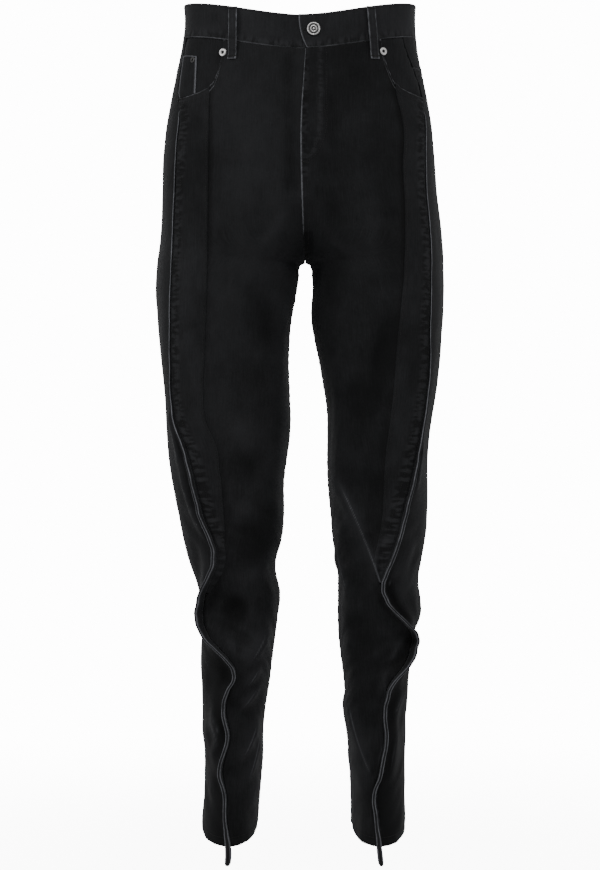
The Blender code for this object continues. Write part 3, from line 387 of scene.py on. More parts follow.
LEFT_FOLDS = (
    (1, 425, 118, 492, 96, 4, 9, 11, -2.6),
    (1, 440, 130, 560, 118, 3, 10, 10, 1.4),
    (1, 130, 64, 320, 98, 6, 18, 16, 1.2),
    (1, 606, 36, 770, 108, -4, 9, 6, 5.6),
    (1, 676, 99, 742, 94, 1, 5, 6, 3.2),
    (1, 702, 40, 746, 58, 2, 5, 6, 3.0),
    (1, 738, 58, 800, 58, -4, 6, 7, 2.6),
    (1, 780, 70, 850, 96, 6, 15, 15, -2.6),
    (1, 852, 110, 930, 100, -2, 6, 7, 3.4),
    (1, 868, 95, 915, 92, 0, 6, 5, -3.0),
    (1, 890, 56, 1016, 95, 6, 8, 12, 4.8),
    (1, 960, 62, 1040, 92, 4, 7, 9, 2.8),
    (1, 882, 138, 936, 112, 3, 8, 9, 3.6),
    (1, 960, 128, 1020, 110, 2, 7, 7, 2.4),
    (-1, 430, 44, 510, 150, 9, 20, 16, 3.0),
    (-1, 650, 46, 705, 152, 8, 17, 13, 5.0),
    (-1, 712, 64, 752, 140, 5, 12, 9, 3.0),
    (-1, 745, 54, 790, 146, 7, 16, 12, 5.0),
    (-1, 830, 56, 895, 134, 6, 15, 11, 4.0),
    (-1, 915, 62, 960, 128, 5, 12, 9, 3.0),
    (-1, 990, 70, 1036, 122, 4, 10, 8, 2.2),
    (-1, 240, 18, 336, 124, 14, 13, 10, 2.4),
    (-1, 286, 14, 372, 90, 12, 10, 8, 2.0),
    (1, 268, 12, 338, 66, 5, 8, 7, 1.8),
    # Broad ones of the thighs, the seat and the front
    (1, 330, 42, 410, 42, 3, 9, 11, -2.6),
    (1, 395, 118, 530, 96, 6, 14, 17, -3.2),
    (1, 480, 60, 545, 96, 5, 18, 22, -3.4),
    (1, 560, 52, 610, 84, 4, 14, 16, 2.4),
    (1, 600, 100, 730, 92, 4, 11, 14, -3.0),
    (1, 100, 28, 215, 27, 1, 6, 7, 1.3),
    (1, 100, 40, 215, 41, 1, 7, 8, -1.4),
    (1, 74, 96, 100, 104, -1, 3, 3, 1.0),
    (1, 76, 90, 96, 94, 0, 3, 3, 0.8),
    (-1, 154, 28, 246, 74, 10, 20, 22, 2.4),
    (-1, 384, 64, 514, 84, 8, 20, 24, -3.0),
    (-1, 548, 46, 646, 94, 8, 18, 20, 3.0),
)

# Sharp creases: facing, both ends as (down, out), bow, width, height and how worn and lit, the pale
# line being partly real wear and partly a painted highlight
RIGHT_CREASES = (
    (1, 806, 42, 862, 72, 4, 9, 3.4, 0.52),
    (1, 856, 51, 890, 74, 2, 6, 2.6, 0.5),
    (1, 878, 50, 922, 84, 2, 6, 2.6, 0.48),
    (1, 924, 55, 986, 81, 4, 5, 2.6, 0.5),
    (1, 944, 53, 1016, 72, 3, 4, 2.2, 0.5),
    (1, 1006, 56, 1050, 66, 1, 4, 1.8, 0.36),
    (1, 918, 128, 974, 105, 2, 5, 2.4, 0.5),
    (1, 920, 121, 956, 104, 2, 4, 2.0, 0.42),
    (1, 990, 124, 1036, 117, 1, 4, 1.8, 0.36),
    (1, 818, 88, 850, 84, 0, 4, 1.8, 0.26),
    (-1, 736, 52, 772, 118, 6, 9, 3.0, 0.24),
    (-1, 640, 48, 694, 120, 7, 9, 3.0, 0.2),
    (-1, 828, 50, 876, 112, 5, 8, 2.6, 0.24),
)
LEFT_CREASES = (
    (1, 618, 46, 768, 107, -3, 2.6, 1.5, 0.62),
    (1, 902, 60, 1008, 94, 5, 2.6, 1.3, 0.5),
    (1, 700, 44, 776, 62, 2, 4, 1.8, 0.4),
    (1, 860, 107, 936, 103, -2, 5, 2.2, 0.34),
    (1, 884, 139, 934, 117, 2, 5, 2.2, 0.44),
    (1, 816, 136, 862, 112, 2, 9, 2.6, 0.3),
    (1, 940, 106, 1000, 92, -3, 4, 1.8, 0.3),
    (1, 930, 128, 1010, 114, 2, 5, 1.8, 0.26),
    (-1, 744, 60, 784, 132, 6, 9, 3.0, 0.24),
    (-1, 652, 56, 700, 136, 7, 9, 3.0, 0.2),
    (-1, 836, 64, 886, 126, 5, 8, 2.6, 0.24),
)

# Folds that follow the standing edge: both ends as (down, beside), bow, width and height
RIGHT_EDGE_FOLDS = (
    (520, 16, 612, 27, 4, 7, 4.0),
    (600, 26, 704, 6, -3, 6, 4.0),
    (560, 10, 660, 9, 0, 5, -2.6),
    (690, 26, 770, 20, 4, 10, 3.0),
    (720, -10, 800, -13, 0, 7, -2.0),
    (838, 12, 900, 14, 2, 8, -3.0),
    (900, 22, 985, 20, 4, 8, 3.0),
)
LEFT_EDGE_FOLDS = (
    (566, 16, 640, 14, 2, 6, 3.4),
    (560, 8, 640, 7, 0, 4, -2.0),
    (736, 11, 818, 9, 4, 9, -13.0),
    (728, 18, 822, 15, 9, 6, 4.6),
    (690, 30, 760, 34, 3, 12, 3.0),
    (846, 12, 905, 14, 2, 8, -3.0),
    (900, 22, 985, 20, 4, 8, 3.0),
)


class Leg:
    """One side of the garment and the tables that shape it."""

    def __init__(self, name, side, outer, inner, edge, strip, scoop, folds, creases, edge_folds):
        self.name = name
        self.side = side
        self.outer = outer
        self.inner = inner
        self.edge = edge
        self.strip = strip
        self.scoop = scoop
        self.folds = folds
        self.creases = creases
        self.edge_folds = edge_folds


RIGHT = Leg("right", -1, RIGHT_OUTER, RIGHT_INNER, RIGHT_EDGE, RIGHT_STRIP, RIGHT_SCOOP,
            RIGHT_FOLDS, RIGHT_CREASES, RIGHT_EDGE_FOLDS)
LEFT = Leg("left", 1, LEFT_OUTER, LEFT_INNER, LEFT_EDGE, LEFT_STRIP, LEFT_SCOOP,
           LEFT_FOLDS, LEFT_CREASES, LEFT_EDGE_FOLDS)
LEGS = (RIGHT, LEFT)

WAIST_HALF_WIDTH = RIGHT_OUTER.read("out", 20.0)

# Belt loops: name, side, turn and how far the lower end leans
BELT_LOOPS = (
    ("front_right", RIGHT, 0.782, -4.0),
    ("front_left", LEFT, 0.815, 0.0),
    ("back_right", RIGHT, 2.0, 0.0),
    ("back_left", LEFT, 2.0, 0.0),
    ("centre_back", LEFT, math.pi, 0.0),
)


def find_turn(out_at, wanted, low, high):
    """The turn at which a point lies as far out as wanted, by halving the range."""
    low = np.broadcast_to(np.asarray(low, dtype=float), wanted.shape).copy()
    high = np.broadcast_to(np.asarray(high, dtype=float), wanted.shape).copy()
    for _ in range(HALVINGS):
        middle = (low + high) / 2
        short = out_at(middle) < wanted
        low = np.where(short, middle, low)
        high = np.where(short, high, middle)
    return (low + high) / 2


def smooth_step(share):
    """Eases from 0 to 1."""
    share = np.clip(share, 0, 1)
    return share * share * (3 - 2 * share)


def bell(distance, width):
    """1 at no distance, and less and less away from it."""
    return np.exp(-((distance / width) ** 2))


def lattice(across, along, seed):
    """A fixed value from 0 to 1 for each whole-number point."""
    mixed = np.sin(across * 127.1 + along * 311.7 + seed * 74.7) * 43758.5453
    return mixed - np.floor(mixed)


def soft_noise(across, along, seed):
    """Smooth noise from -1 to 1 over a plane."""
    a = np.floor(across)
    b = np.floor(along)
    u = smooth_step(across - a)
    v = smooth_step(along - b)
    low = lattice(a, b, seed) * (1 - u) + lattice(a + 1, b, seed) * u
    high = lattice(a, b + 1, seed) * (1 - u) + lattice(a + 1, b + 1, seed) * u
    return 2 * (low * (1 - v) + high * v) - 1


def along_fold(down, aside_at, down_a, place_a, down_b, place_b, bow):
    """How far aside of a fold's line a point lies, and how the fold eases at its ends."""
    run_down = down_b - down_a
    run_place = place_b - place_a
    length = math.hypot(run_down, run_place)
    along = ((down - down_a) * run_down + (aside_at - place_a) * run_place) / length
    aside = ((down - down_a) * run_place - (aside_at - place_a) * run_down) / length
    share = np.clip(along / length, 0, 1)
    taper = min(26.0, 0.45 * length)
    ends = smooth_step(along / taper) * smooth_step((length - along) / taper)
    return aside - bow * 4 * share * (1 - share), ends


def creases_worn_and_lit(leg, down, out, turn, broad=0.0):
    """How pale the cloth is along its sharp creases, partly real wear and partly a painted
    highlight; with broad, how light a wider band along them is painted as a highlight.
    """
    worn = np.zeros(down.shape)
    for way, down_a, out_a, down_b, out_b, bow, width, height, amount in leg.creases:
        aside, ends = along_fold(down, out, down_a, out_a, down_b, out_b, bow)
        line = bell(aside, max(1.2, broad * width)) * ends
        worn = np.maximum(worn, amount * line * (np.cos(turn) * way > 0))
    return worn


def ridges_worn_and_lit(leg, down, beside):
    """How pale the cloth is along the ridges behind the standing edge: partly real wear and partly a
    painted highlight.
    """
    worn = np.zeros(down.shape)
    for down_a, beside_a, down_b, beside_b, bow, width, height in leg.edge_folds:
        if height < 0 or beside_a < 0:
            continue
        aside, ends = along_fold(down, beside, down_a, beside_a, down_b, beside_b, bow)
        line = bell(aside, 1.5) * ends
        worn = np.maximum(worn, 0.09 * height * line * (beside > 2))
    return worn


class Ring:
    """Slices of a leg at given heights: the round body, the flare and the standing edge."""

    def __init__(self, leg, down):
        self.leg = leg
        self.down = np.asarray(down, dtype=float)
        down = self.down
        middle = leg.side * CENTRE_SEAM.read("x", down)
        outer = leg.outer.read("out", down)
        rise = np.clip((down - CROTCH_BLEND_TOP) / (CROTCH - CROTCH_BLEND_TOP), 0, 1)
        split = rise ** CROTCH_BLEND_POWER
        across = middle - (outer - middle) * (1 - split) / (1 + split)
        inner = np.where(down < CROTCH, across, leg.inner.read("out", down))
        front = DEPTHS.read("front", down)
        back = DEPTHS.read("back", down)
        self.middle = middle
        self.out = middle + (outer - middle) * CENTRES.read("share", down)
        self.half_out = outer - self.out
        self.half_in = self.out - inner
        self.y = (front + back) / 2
        self.deep = (back - front) / 2
        self.find_edge()

    def round_reach(self, turn):
        """Distance from the centre to the round of the slice."""
        half = np.where(np.sin(turn) > 0, self.half_out, self.half_in)
        across = (np.abs(np.sin(turn)) / half) ** SLICE_POWER
        along = (np.abs(np.cos(turn)) / self.deep) ** SLICE_POWER
        return (across + along) ** (-1 / SLICE_POWER)

    def find_edge(self):
        """Where the standing edge lies round the slice, and how tall and thick it is."""
        proud = self.leg.edge.read("proud", self.down)
        wanted = self.leg.edge.read("out", self.down)
        self.thick = self.leg.edge.read("thick", self.down)

        def out_at(turn):
            return self.out + (self.round_reach(turn) + proud) * np.sin(turn)

        self.edge = find_turn(out_at, wanted, EDGE_LEAST_TURN, math.pi / 2)
        self.tip = self.round_reach(self.edge) + proud
        self.root = self.tip - proud * EDGE_TALL_SHARE
        self.corner = self.root - SEAM_GAP
        half_turn = self.thick / 2 / self.root
        self.before = self.edge - half_turn
        self.after = self.edge + half_turn
        self.lift_front = self.corner - self.round_reach(self.before)
        self.lift_back = self.corner - self.round_reach(self.after)

    def folds(self, turn, out):
        """How far the folds raise or sink the cloth."""
        total = np.zeros(np.broadcast(turn, out).shape)
        facing = np.cos(turn)
        beside = (turn - self.edge) * self.root
        clear = smooth_step(np.abs(turn - self.edge) / FOLD_CLEAR_OF_EDGE - FOLD_CLEAR_START)
        for way, down_a, out_a, down_b, out_b, bow, inside, outside, height in self.leg.folds:
            aside, ends = along_fold(self.down, out, down_a, out_a, down_b, out_b, bow)
            ridge = height * bell(aside, np.where(aside > 0, inside, outside)) * ends
            total = total + ridge * smooth_step(facing * way * FOLD_FACING_GAIN) * clear
        for way, down_a, out_a, down_b, out_b, bow, width, height, worn in self.leg.creases:
            aside, ends = along_fold(self.down, out, down_a, out_a, down_b, out_b, bow)
            ridge = CREASE_GAIN * height * np.exp(-np.sqrt(aside ** 2 + 1.0) / width * 1.6) * ends
            total = total + ridge * smooth_step(facing * way * FOLD_FACING_GAIN) * clear
        near = smooth_step((np.abs(beside) - self.thick / 2) / 5)
        for down_a, beside_a, down_b, beside_b, bow, width, height in self.leg.edge_folds:
            aside, ends = along_fold(self.down, beside, down_a, beside_a, down_b, beside_b, bow)
            total = total + height * bell(aside, width) * ends * near
        return total + self.drape(turn, beside) * near

    def drape(self, turn, beside):
        """Small uneven slackness of the cloth, least at the outlines and at the top."""
        seed = 3 + self.leg.side
        front = np.abs(np.cos(turn)) ** 0.7
        low = smooth_step((self.down - 560) / 160)
        thigh = smooth_step((self.down - 130) / 120) * (1 - low)
        slant = self.down + 0.55 * beside * np.sign(np.cos(turn))
        crumple = 1.5 * soft_noise(beside / 46, slant / 21, seed)
        crumple = crumple + 0.7 * soft_noise(beside / 24, slant / 11, seed + 5)
        lazy = 1.2 * soft_noise(beside / 30, self.down / 95, seed + 9)
        lazy = lazy + 0.5 * soft_noise(beside / 14, self.down / 44, seed + 11)
        return front * (low * crumple + thigh * lazy)

    def reach(self, turn):
        """Distance from the centre to the cloth, with its flare and its folds."""
        near_front = np.clip(1 - (self.before - turn) / EDGE_SPREAD_FRONT, 0, None) ** 2
        near_back = np.clip(1 - (turn - self.after) / EDGE_SPREAD_BACK, 0, None) ** 2
        on_front = turn < self.edge
        flare = np.where(on_front, self.lift_front * near_front, self.lift_back * near_back)
        plain = self.round_reach(turn) + flare
        return plain + self.folds(turn, self.out + plain * np.sin(turn))

    def out_at(self, turn):
        """How far out the cloth lies at a turn."""
        return self.out + self.reach(turn) * np.sin(turn)

    def place(self, turn, reach):
        """A point in millimetres from its turn and its reach round the slice's centre."""
        out = self.out + reach * np.sin(turn)
        y = self.y - reach * np.cos(turn)
        return np.stack(np.broadcast_arrays(self.leg.side * out, y, -self.down), axis=-1)

    def surface(self, turn):
        """Points of the cloth's outer face."""
        return self.place(turn, self.reach(turn))

    def seam_share(self, limit, past=-SEAM_GAP / 2):
        """Turn of the centre front, or of the inseam below the crotch, kept within a limit."""
        across = (self.out - self.middle + past) / self.half_in
        share = np.where(self.down < CROTCH, across, 1.0)
        share = np.clip(share, -limit, limit)
        deep = self.deep * (1 - np.abs(share) ** SLICE_POWER) ** (1 / SLICE_POWER)
        return np.arctan2(-share * self.half_in, deep)

    def front_seam(self, centre_lap=0.0, inseam_lap=0.0):
        """The centre front above the crotch, and the inseam below it, with laps past them."""
        lap = smooth_step((CROTCH - 8 - self.down) / 20) * centre_lap
        inner = smooth_step((self.down - CROTCH - 4) / 20) * inseam_lap
        inseam = -math.pi / 2 + (SEAM_GAP / 2 - inner) / self.half_in
        return np.maximum(self.seam_share(1.0, lap - SEAM_GAP / 2), inseam)

    def even_seam(self):
        """A seam that turns gently past the crotch, from which the columns are spaced."""
        gone = smooth_step((self.down - CROTCH) / EVEN_SEAM_RUN)
        limit = EVEN_SEAM_LIMIT + (1 - EVEN_SEAM_LIMIT) * gone
        return np.minimum(self.seam_share(limit), 0.0)

    def turn_for(self, out, back=False):
        """The turn of the point of the front, or of the back, that lies this far out."""
        out = np.broadcast_to(np.asarray(out, dtype=float), self.down.shape)

        def out_at(turn):
            return self.out_at(math.pi - turn if back else turn)

        high = math.pi / 2 if back else self.before
        turn = find_turn(out_at, out, -math.pi / 2, high)
        return math.pi - turn if back else turn

    def strip_seam(self):
        """The strip's inner seam, which runs into the standing edge at its lower end."""
        return np.minimum(self.turn_for(self.leg.strip.read("out", self.down)), self.before)


def outward(leg, down, turn):
    """Unit normals of the outer face."""
    ring = Ring(leg, down)
    along = ring.surface(turn + SMALL_TURN) - ring.surface(turn - SMALL_TURN)
    drop = Ring(leg, down + SMALL_DOWN).surface(turn) - Ring(leg, down - SMALL_DOWN).surface(turn)
    normal = np.cross(drop, along) * leg.side
    return normal / np.linalg.norm(normal, axis=-1, keepdims=True)


def waist_top(turn):
    """How far down the waistband's upper edge lies at a turn."""
    facing = np.cos(turn)
    dip = WAIST_FRONT_DIP * np.clip(facing, 0, 1) ** WAIST_FRONT_POWER
    rise = WAIST_BACK_RISE * np.clip(-facing, 0, 1) ** 2
    return WAIST_SIDE + dip - rise


def hem_down(turn, down=None):
    """How far down the hem lies at a turn, whatever the height of the place that asks."""
    facing = np.cos(turn)
    return HEM + HEM_FRONT_DIP * np.clip(facing, 0, 1) ** 2 - HEM_BACK_RISE * np.clip(-facing, 0, 1)


def lap_turn(share, past=0.0):
    """Turn of the lapped end of the waistband at a share of its height, or a little past it."""
    edge = LAP_EDGE_TOP + (LAP_EDGE_BOTTOM - LAP_EDGE_TOP) * share ** LAP_EDGE_POWER
    return (edge + past) / WAIST_HALF_WIDTH


def waist_seam(turn):
    """Where a panel starts below the waistband."""
    return waist_top(turn) + BAND_HEIGHT + SEAM_GAP


def yoke_seam(turn):
    """Where the back panel meets the yoke."""
    return YOKE_SIDE + (YOKE_CENTRE - YOKE_SIDE) * np.clip(-np.cos(turn), 0, 1) ** 1.5


def settle(shares, turns_at, height_at, guess):
    """Heights at which each column meets an edge that depends on its turn."""
    down = np.full(shares.shape, guess, dtype=float)
    for _ in range(SETTLINGS):
        down = (down + height_at(turns_at(down, shares), down)) / 2
    return down


def strip_end(leg):
    """Where the strip's lower end runs into the standing edge."""
    down = np.arange(STRIP_END_FIRST, STRIP_END_LAST, 0.5)
    ring = Ring(leg, down)
    width = (ring.before - ring.strip_seam()) * ring.deep
    return down[np.argmax(width < STRIP_LEAST_WIDTH)]


# Meshes

def round_over(distance, radius=ROUND_OVER):
    """How far an edge is rounded over at a distance from it."""
    near = np.clip(1 - distance / radius, 0, 1)
    return radius * (1 - np.sqrt(1 - near ** 2))


def pucker(along, distance, reach_in, pitch, seed):
    """Small uneven ridges that run across a stitched seam and fade away from it."""
    level = 0 * along
    drift = 0.45 * soft_noise(along / (2.6 * pitch), level, seed) + 0.035 * distance
    wave = np.sin(math.tau * (along / pitch + drift))
    size = 0.62 + 0.38 * soft_noise(along / (2.1 * pitch), level + 4, seed)
    return wave * size * smooth_step(1 - distance / reach_in)


def spaced(length, step):
    """Positions along a length, close together at both ends."""
    rim = np.array(RIM_STEPS) * min(1.0, length / 14)
    count = max(2, int(round((length - 2 * rim[-1]) / step)))
    inner = np.linspace(rim[-1], length - rim[-1], count + 1)
    return np.concatenate((rim[:-1], inner, length - rim[:-1][::-1]))


def column_shares(width, step=COLUMN_STEP):
    """Column places as shares of each row's width, close together at both ends."""
    width = width[:, None]
    count = max(2, int(round(width.max() / step)))
    rim = np.array(RIM_STEPS)[None, :] * np.minimum(1.0, width / 14) / width
    steps = np.linspace(0, 1, count + 1)[None, 1:-1]
    last = rim[:, -1:]
    inner = last + (1 - 2 * last) * steps
    return np.concatenate((rim, inner, 1 - rim[:, ::-1]), axis=1)


def sheet_faces(rows, columns):
    """Faces of a wall: an outer grid, an inner grid after it, and the rim between them."""
    index = np.arange(rows * columns).reshape(rows, columns)
    a = index[:-1, :-1].ravel()
    b = index[:-1, 1:].ravel()
    c = index[1:, 1:].ravel()
    d = index[1:, :-1].ravel()
    inner = rows * columns
    outside = np.stack((a, b, c, d), axis=1)
    inside = np.stack((d, c, b, a), axis=1) + inner
    rim = np.concatenate((index[0, :], index[1:, -1], index[-1, -2::-1], index[-2:0:-1, 0]))
    after = np.roll(rim, -1)
    edge = np.stack((after, rim, rim + inner, after + inner), axis=1)
    return outside, inside, edge


def link(item):
    """Puts an object in the scene."""
    bpy.context.scene.collection.objects.link(item)
    return item


def add_mesh(name, points, faces, materials, slots=None, uv=None, values=None):
    """One object from points in millimetres, with its colours' values on its points."""
    mesh = bpy.data.meshes.new(name)
    mesh.from_pydata((points * MM).tolist(), [], [tuple(face) for face in faces])
    for item in materials:
        mesh.materials.append(item)
    if slots is not None:
        mesh.polygons.foreach_set("material_index", slots)
    if uv is not None:
        layer = mesh.uv_layers.new(name="UVMap")
        corners = np.empty(len(mesh.loops), dtype=np.int32)
        mesh.loops.foreach_get("vertex_index", corners)
        layer.data.foreach_set("uv", uv[corners].ravel().astype(np.float32))
    for label, numbers in (values or {}).items():
        attribute = mesh.attributes.new(label, "FLOAT", "POINT")
        attribute.data.foreach_set("value", numbers.astype(np.float32))
    mesh.shade_smooth()
    return link(bpy.data.objects.new(name, mesh))


def add_shell(name, outer, inner, uv, wear, materials, tint=0.0, rope=0.0):
    """A cloth wall from a grid of outer points and a grid of inner points."""
    rows, columns, _ = outer.shape
    points = np.concatenate((outer.reshape(-1, 3), inner.reshape(-1, 3)))
    outside, inside, edge = sheet_faces(rows, columns)
    row = rows // 2
    column = columns // 2
    across = outer[row, column + 1] - outer[row, column]
    down = outer[row + 1, column] - outer[row, column]
    way = outer[row, column] - inner[row, column]
    faces = np.concatenate((outside, inside, edge))
    if np.dot(np.cross(across, down), way) < 0:
        faces = faces[:, ::-1]
    slots = np.concatenate((np.zeros(len(outside)), np.ones(len(inside)), np.zeros(len(edge))))
    uv = np.tile(uv.reshape(-1, 2), (2, 1)) * MM
    shares = {"wear": (np.clip(wear, 0, 1), 0.3), "tint": (tint, 1.0), "rope": (rope, 0.0)}
    values = {}
    for label, (value, inside_share) in shares.items():
        value = (value + 0 * outer[..., 0]).ravel()
        values[label] = np.concatenate((value, value * inside_share))
    return add_mesh(name, points, faces, materials, slots.astype(np.int32), uv, values)


class Panel:
    """A leg's panel as a grid of places, with each place's distances to its four borders."""

    def __init__(self, leg, turns_at, rows, top, bottom, step=COLUMN_STEP):
        self.leg = leg
        ring = Ring(leg, rows)
        first = turns_at(rows, np.zeros(len(rows)))
        last = turns_at(rows, np.ones(len(rows)))
        self.width = np.maximum(np.abs(last - first) * (ring.deep + ring.half_out) / 2, 1.0)
        self.shares = column_shares(self.width, step)
        self.top = settle(self.shares[0], turns_at, top, rows[0])
        rows = rows[:, None]
        upper = self.top + (rows - rows[0]) * (LEVEL_TOP - self.top) / (LEVEL_TOP - rows[0])
        down = np.where(rows < LEVEL_TOP, upper, rows)
        if bottom is None:
            self.bottom = np.full(self.shares.shape[1], rows[-1, 0])
        else:
            drop = settle(self.shares[-1], turns_at, bottom, HEM)
            lower = drop - (rows[-1] - rows) * (drop - LEVEL_BOTTOM) / (rows[-1] - LEVEL_BOTTOM)
            down = np.where(rows > LEVEL_BOTTOM, lower, down)
            self.bottom = drop
        self.down = down
        self.turn = turns_at(down, self.shares)
        self.ring = Ring(leg, down)
        self.from_first = self.shares * self.width[:, None]
        self.from_last = (1 - self.shares) * self.width[:, None]
        self.from_top = down - self.top
        self.from_bottom = self.bottom - down
        self.base = self.ring.surface(self.turn)
        self.normal = outward(leg, down, self.turn)
        self.out = leg.side * self.base[..., 0]
        self.raised = np.zeros(down.shape)
        # Crease lines paler: partly real wear and partly a painted highlight
        self.wear = creases_worn_and_lit(leg, down, self.out, self.turn)
        self.rope = np.zeros(down.shape)
        # Fold ridges paler from real wash wear, fold troughs darker as painted shade
        self.tint = np.clip(RELIEF_WASH_AND_SHADE * self.ring.folds(self.turn, self.out), -0.8, 0.9)
        # A wider band along each crease painted lighter, a painted highlight
        self.tint = self.tint + 0.85 * creases_worn_and_lit(leg, down, self.out, self.turn, 0.5)

    def rounded(self, first=True, last=True, top=True, bottom=True):
        """How far the panel's borders are rounded over."""
        sink = np.zeros(self.down.shape)
        sides = (
            (first, self.from_first),
            (last, self.from_last),
            (top, self.from_top),
            (bottom, self.from_bottom),
        )
        for wanted, distance in sides:
            if wanted:
                sink = np.maximum(sink, round_over(distance))
        return sink

    def seam(self, distance, along, reach_in, pitch, height, wear, seed, rope=0.0):
        """Puckers and worn ridges beside a stitched seam."""
        self.rope = np.maximum(self.rope, rope * smooth_step(1.25 - distance / reach_in))
        wave = pucker(along, distance, reach_in, pitch, seed)
        self.raised = self.raised + height * wave
        rubbed = bell(distance, 1.3) + 0.55 * np.clip(wave, 0, 1)
        patchy = 0.7 + 0.3 * soft_noise(along / 23, distance / 15, seed + 2)
        self.rub(wear * rubbed * patchy)

    def rub(self, amount):
        """Wears the cloth to at least this amount."""
        self.wear = np.maximum(self.wear, amount)

    def shell(self, name, outer, inner, cloth):
        """The panel's cloth from its outer and inner points."""
        return add_shell(name, outer, inner, self.uv(), self.wear, cloth, self.tint, self.rope)

    def walls(self, sink):
        """Outer and inner points."""
        outer = self.base + self.normal * (self.raised - sink)[..., None]
        inner = self.base + self.normal * (np.clip(self.raised, None, 0.6) - WALL)[..., None]
        return outer, inner

    def uv(self):
        """Places on the flat cloth, in millimetres."""
        return np.stack((self.from_first, -self.down), axis=-1)


def tuck_under_edge(leg, down, hand, outer, inner, column):
    """Ends a wall under the standing edge, clear of the edge and of its neighbour."""
    ring = Ring(leg, down)
    outer[:, column] = ring.place(ring.edge + hand * ring.thick / 2 / ring.root, ring.corner)
    side = np.minimum(SEAM_GAP / 2, ring.thick / 2)
    low = ring.corner - WALL
    inner[:, column] = ring.place(ring.edge + hand * side / low, low)


def front_turns(leg):
    """Turns across the front panel, from the centre seam to the strip."""

    def turns_at(down, shares):
        ring = Ring(leg, down)
        last = ring.strip_seam() - SEAM_GAP / 2 / ring.deep
        even = ring.even_seam()
        even = even + (last - even) * shares
        exact = ring.front_seam(SEAM_LAP if leg is LEFT else 0.0)
        exact = exact + leg.side * FLY_SHIFT.read("x", down) / ring.deep
        exact = exact + (last - exact) * shares
        return even + (exact - even) * (1 - shares) ** SEAM_COLUMN_POWER

    return turns_at


def back_turns(leg):
    """Turns across the back panel and the yoke, from the side to the centre seam."""

    def turns_at(down, shares):
        ring = Ring(leg, down)
        even = ring.after + (math.pi - ring.even_seam() - ring.after) * shares
        seam = ring.front_seam(SEAM_LAP if leg is LEFT else 0.0, SEAM_LAP)
        exact = ring.after + (math.pi - seam - ring.after) * shares
        return even + (exact - even) * shares ** SEAM_COLUMN_POWER

    return turns_at


def fly_width(down):
    """Width of the stitched fly, which curves in to the centre at its lower end."""
    low = np.clip((down - FLY_CURVE_TOP) / (FLY_CURVE_END - FLY_CURVE_TOP), 0, 1)
    return FLY_SEWN * np.sqrt(np.clip(1 - low ** 2, 0, 1))


def make_front(leg, cloth):
    """The front panel, cut away at its upper corner by the pocket mouth."""

    def top_at(turn, down):
        out = Ring(leg, down).out_at(turn)
        seam = waist_seam(turn)
        mouth = np.where(out > leg.scoop.rows[0, 0], leg.scoop.read("down", out), seam)
        return np.maximum(seam, mouth)

    rows = 60.0 + spaced(HEM - 60.0, ROW_STEP)
    panel = Panel(leg, front_turns(leg), rows, top_at, hem_down)
    down = panel.down
    above = smooth_step((FLY_END + 4 - down) / 10)
    if leg is LEFT:
        wide = fly_width(down)
        fly = smooth_step((wide - panel.from_first) / 7 + 0.5) * smooth_step((215 - down) / 14)
        panel.raised = panel.raised + FLY_RAISE * fly
        panel.seam(panel.from_first, down, 12, 7.5, 0.5 * above, 0.5 * above, 21, 0.8 * above)
        line = smooth_step((314 - down) / 16)
        broken = 0.72 + 0.28 * soft_noise(down / 3.2, 0 * down, 24)
        panel.rub(1.25 * line * broken * smooth_step(2.2 - panel.from_first))
        stitched = np.abs(panel.from_first - wide) + 40 * (down > FLY_CURVE_END)
        panel.seam(stitched, down, 9, 9, 0.3, 0.16, 23)
        near = smooth_step(1 - panel.from_first / 9) * smooth_step((CROTCH - down) / 14)
        panel.raised = np.maximum(panel.raised, LAP_RAISE * near)
    else:
        panel.seam(panel.from_first, down, 9, 10, 0.3 * above, 0.25 * above, 22)
        panel.tint = panel.tint + 0.3 * smooth_step((640 - down) / 120)
    crotch = smooth_step((down - FLY_END) / 10) * smooth_step((CROTCH + 30 - down) / 30)
    panel.seam(panel.from_first, down, 16, 11, 0.6 * crotch, 0.6 * crotch, 25)
    leg_seam = smooth_step((down - CROTCH - 10) / 30)
    panel.seam(panel.from_first, down, 12, 12, 0.4 * leg_seam, 1.0 * leg_seam, 26)
    panel.seam(panel.from_last, down, 7, 13, 0.15, 0.0, 27)
    # Painted shadow: the front panel darkened beside the raised strip, where the strip casts its
    # shade
    painted_strip_shadow = 0.45 - 0.25 * smooth_step((down - 260) / 160)
    painted_strip_shadow = painted_strip_shadow * smooth_step(1.2 - panel.from_last / 9)
    panel.tint = panel.tint - painted_strip_shadow * smooth_step((760 - down) / 60)
    mouth = smooth_step((panel.out - leg.scoop.rows[0, 0] + 6) / 8)
    slant = panel.out + 0.6 * down
    panel.seam(panel.from_top, slant, 12, 7, 0.3 + 0.5 * mouth, 0.2 + 0.9 * mouth, 28)
    second = bell(panel.from_top - 7, 1.2) + bell(panel.from_top, 2.8)
    panel.rub(0.7 * second * mouth)
    if leg is LEFT:
        # Painted shade: the left front darkened in the crotch
        painted_crotch_shade = smooth_step((16 - panel.out) / 5) * smooth_step((down - 298) / 8)
        panel.tint = panel.tint - 1.6 * painted_crotch_shade * smooth_step((CROTCH + 12 - down) / 12)
        fold = bell(panel.from_first - wide + 3, 3.6) * smooth_step((214 - down) / 12)
        panel.rope = np.maximum(panel.rope, 0.75 * fold)
        panel.tint = panel.tint + 0.4 * fold
    panel.seam(panel.from_bottom, panel.out, 15, 10, 0.55, 0.4, 29)
    outer, inner = panel.walls(panel.rounded())
    return panel, panel.shell("cloth_front_" + leg.name, outer, inner, cloth)


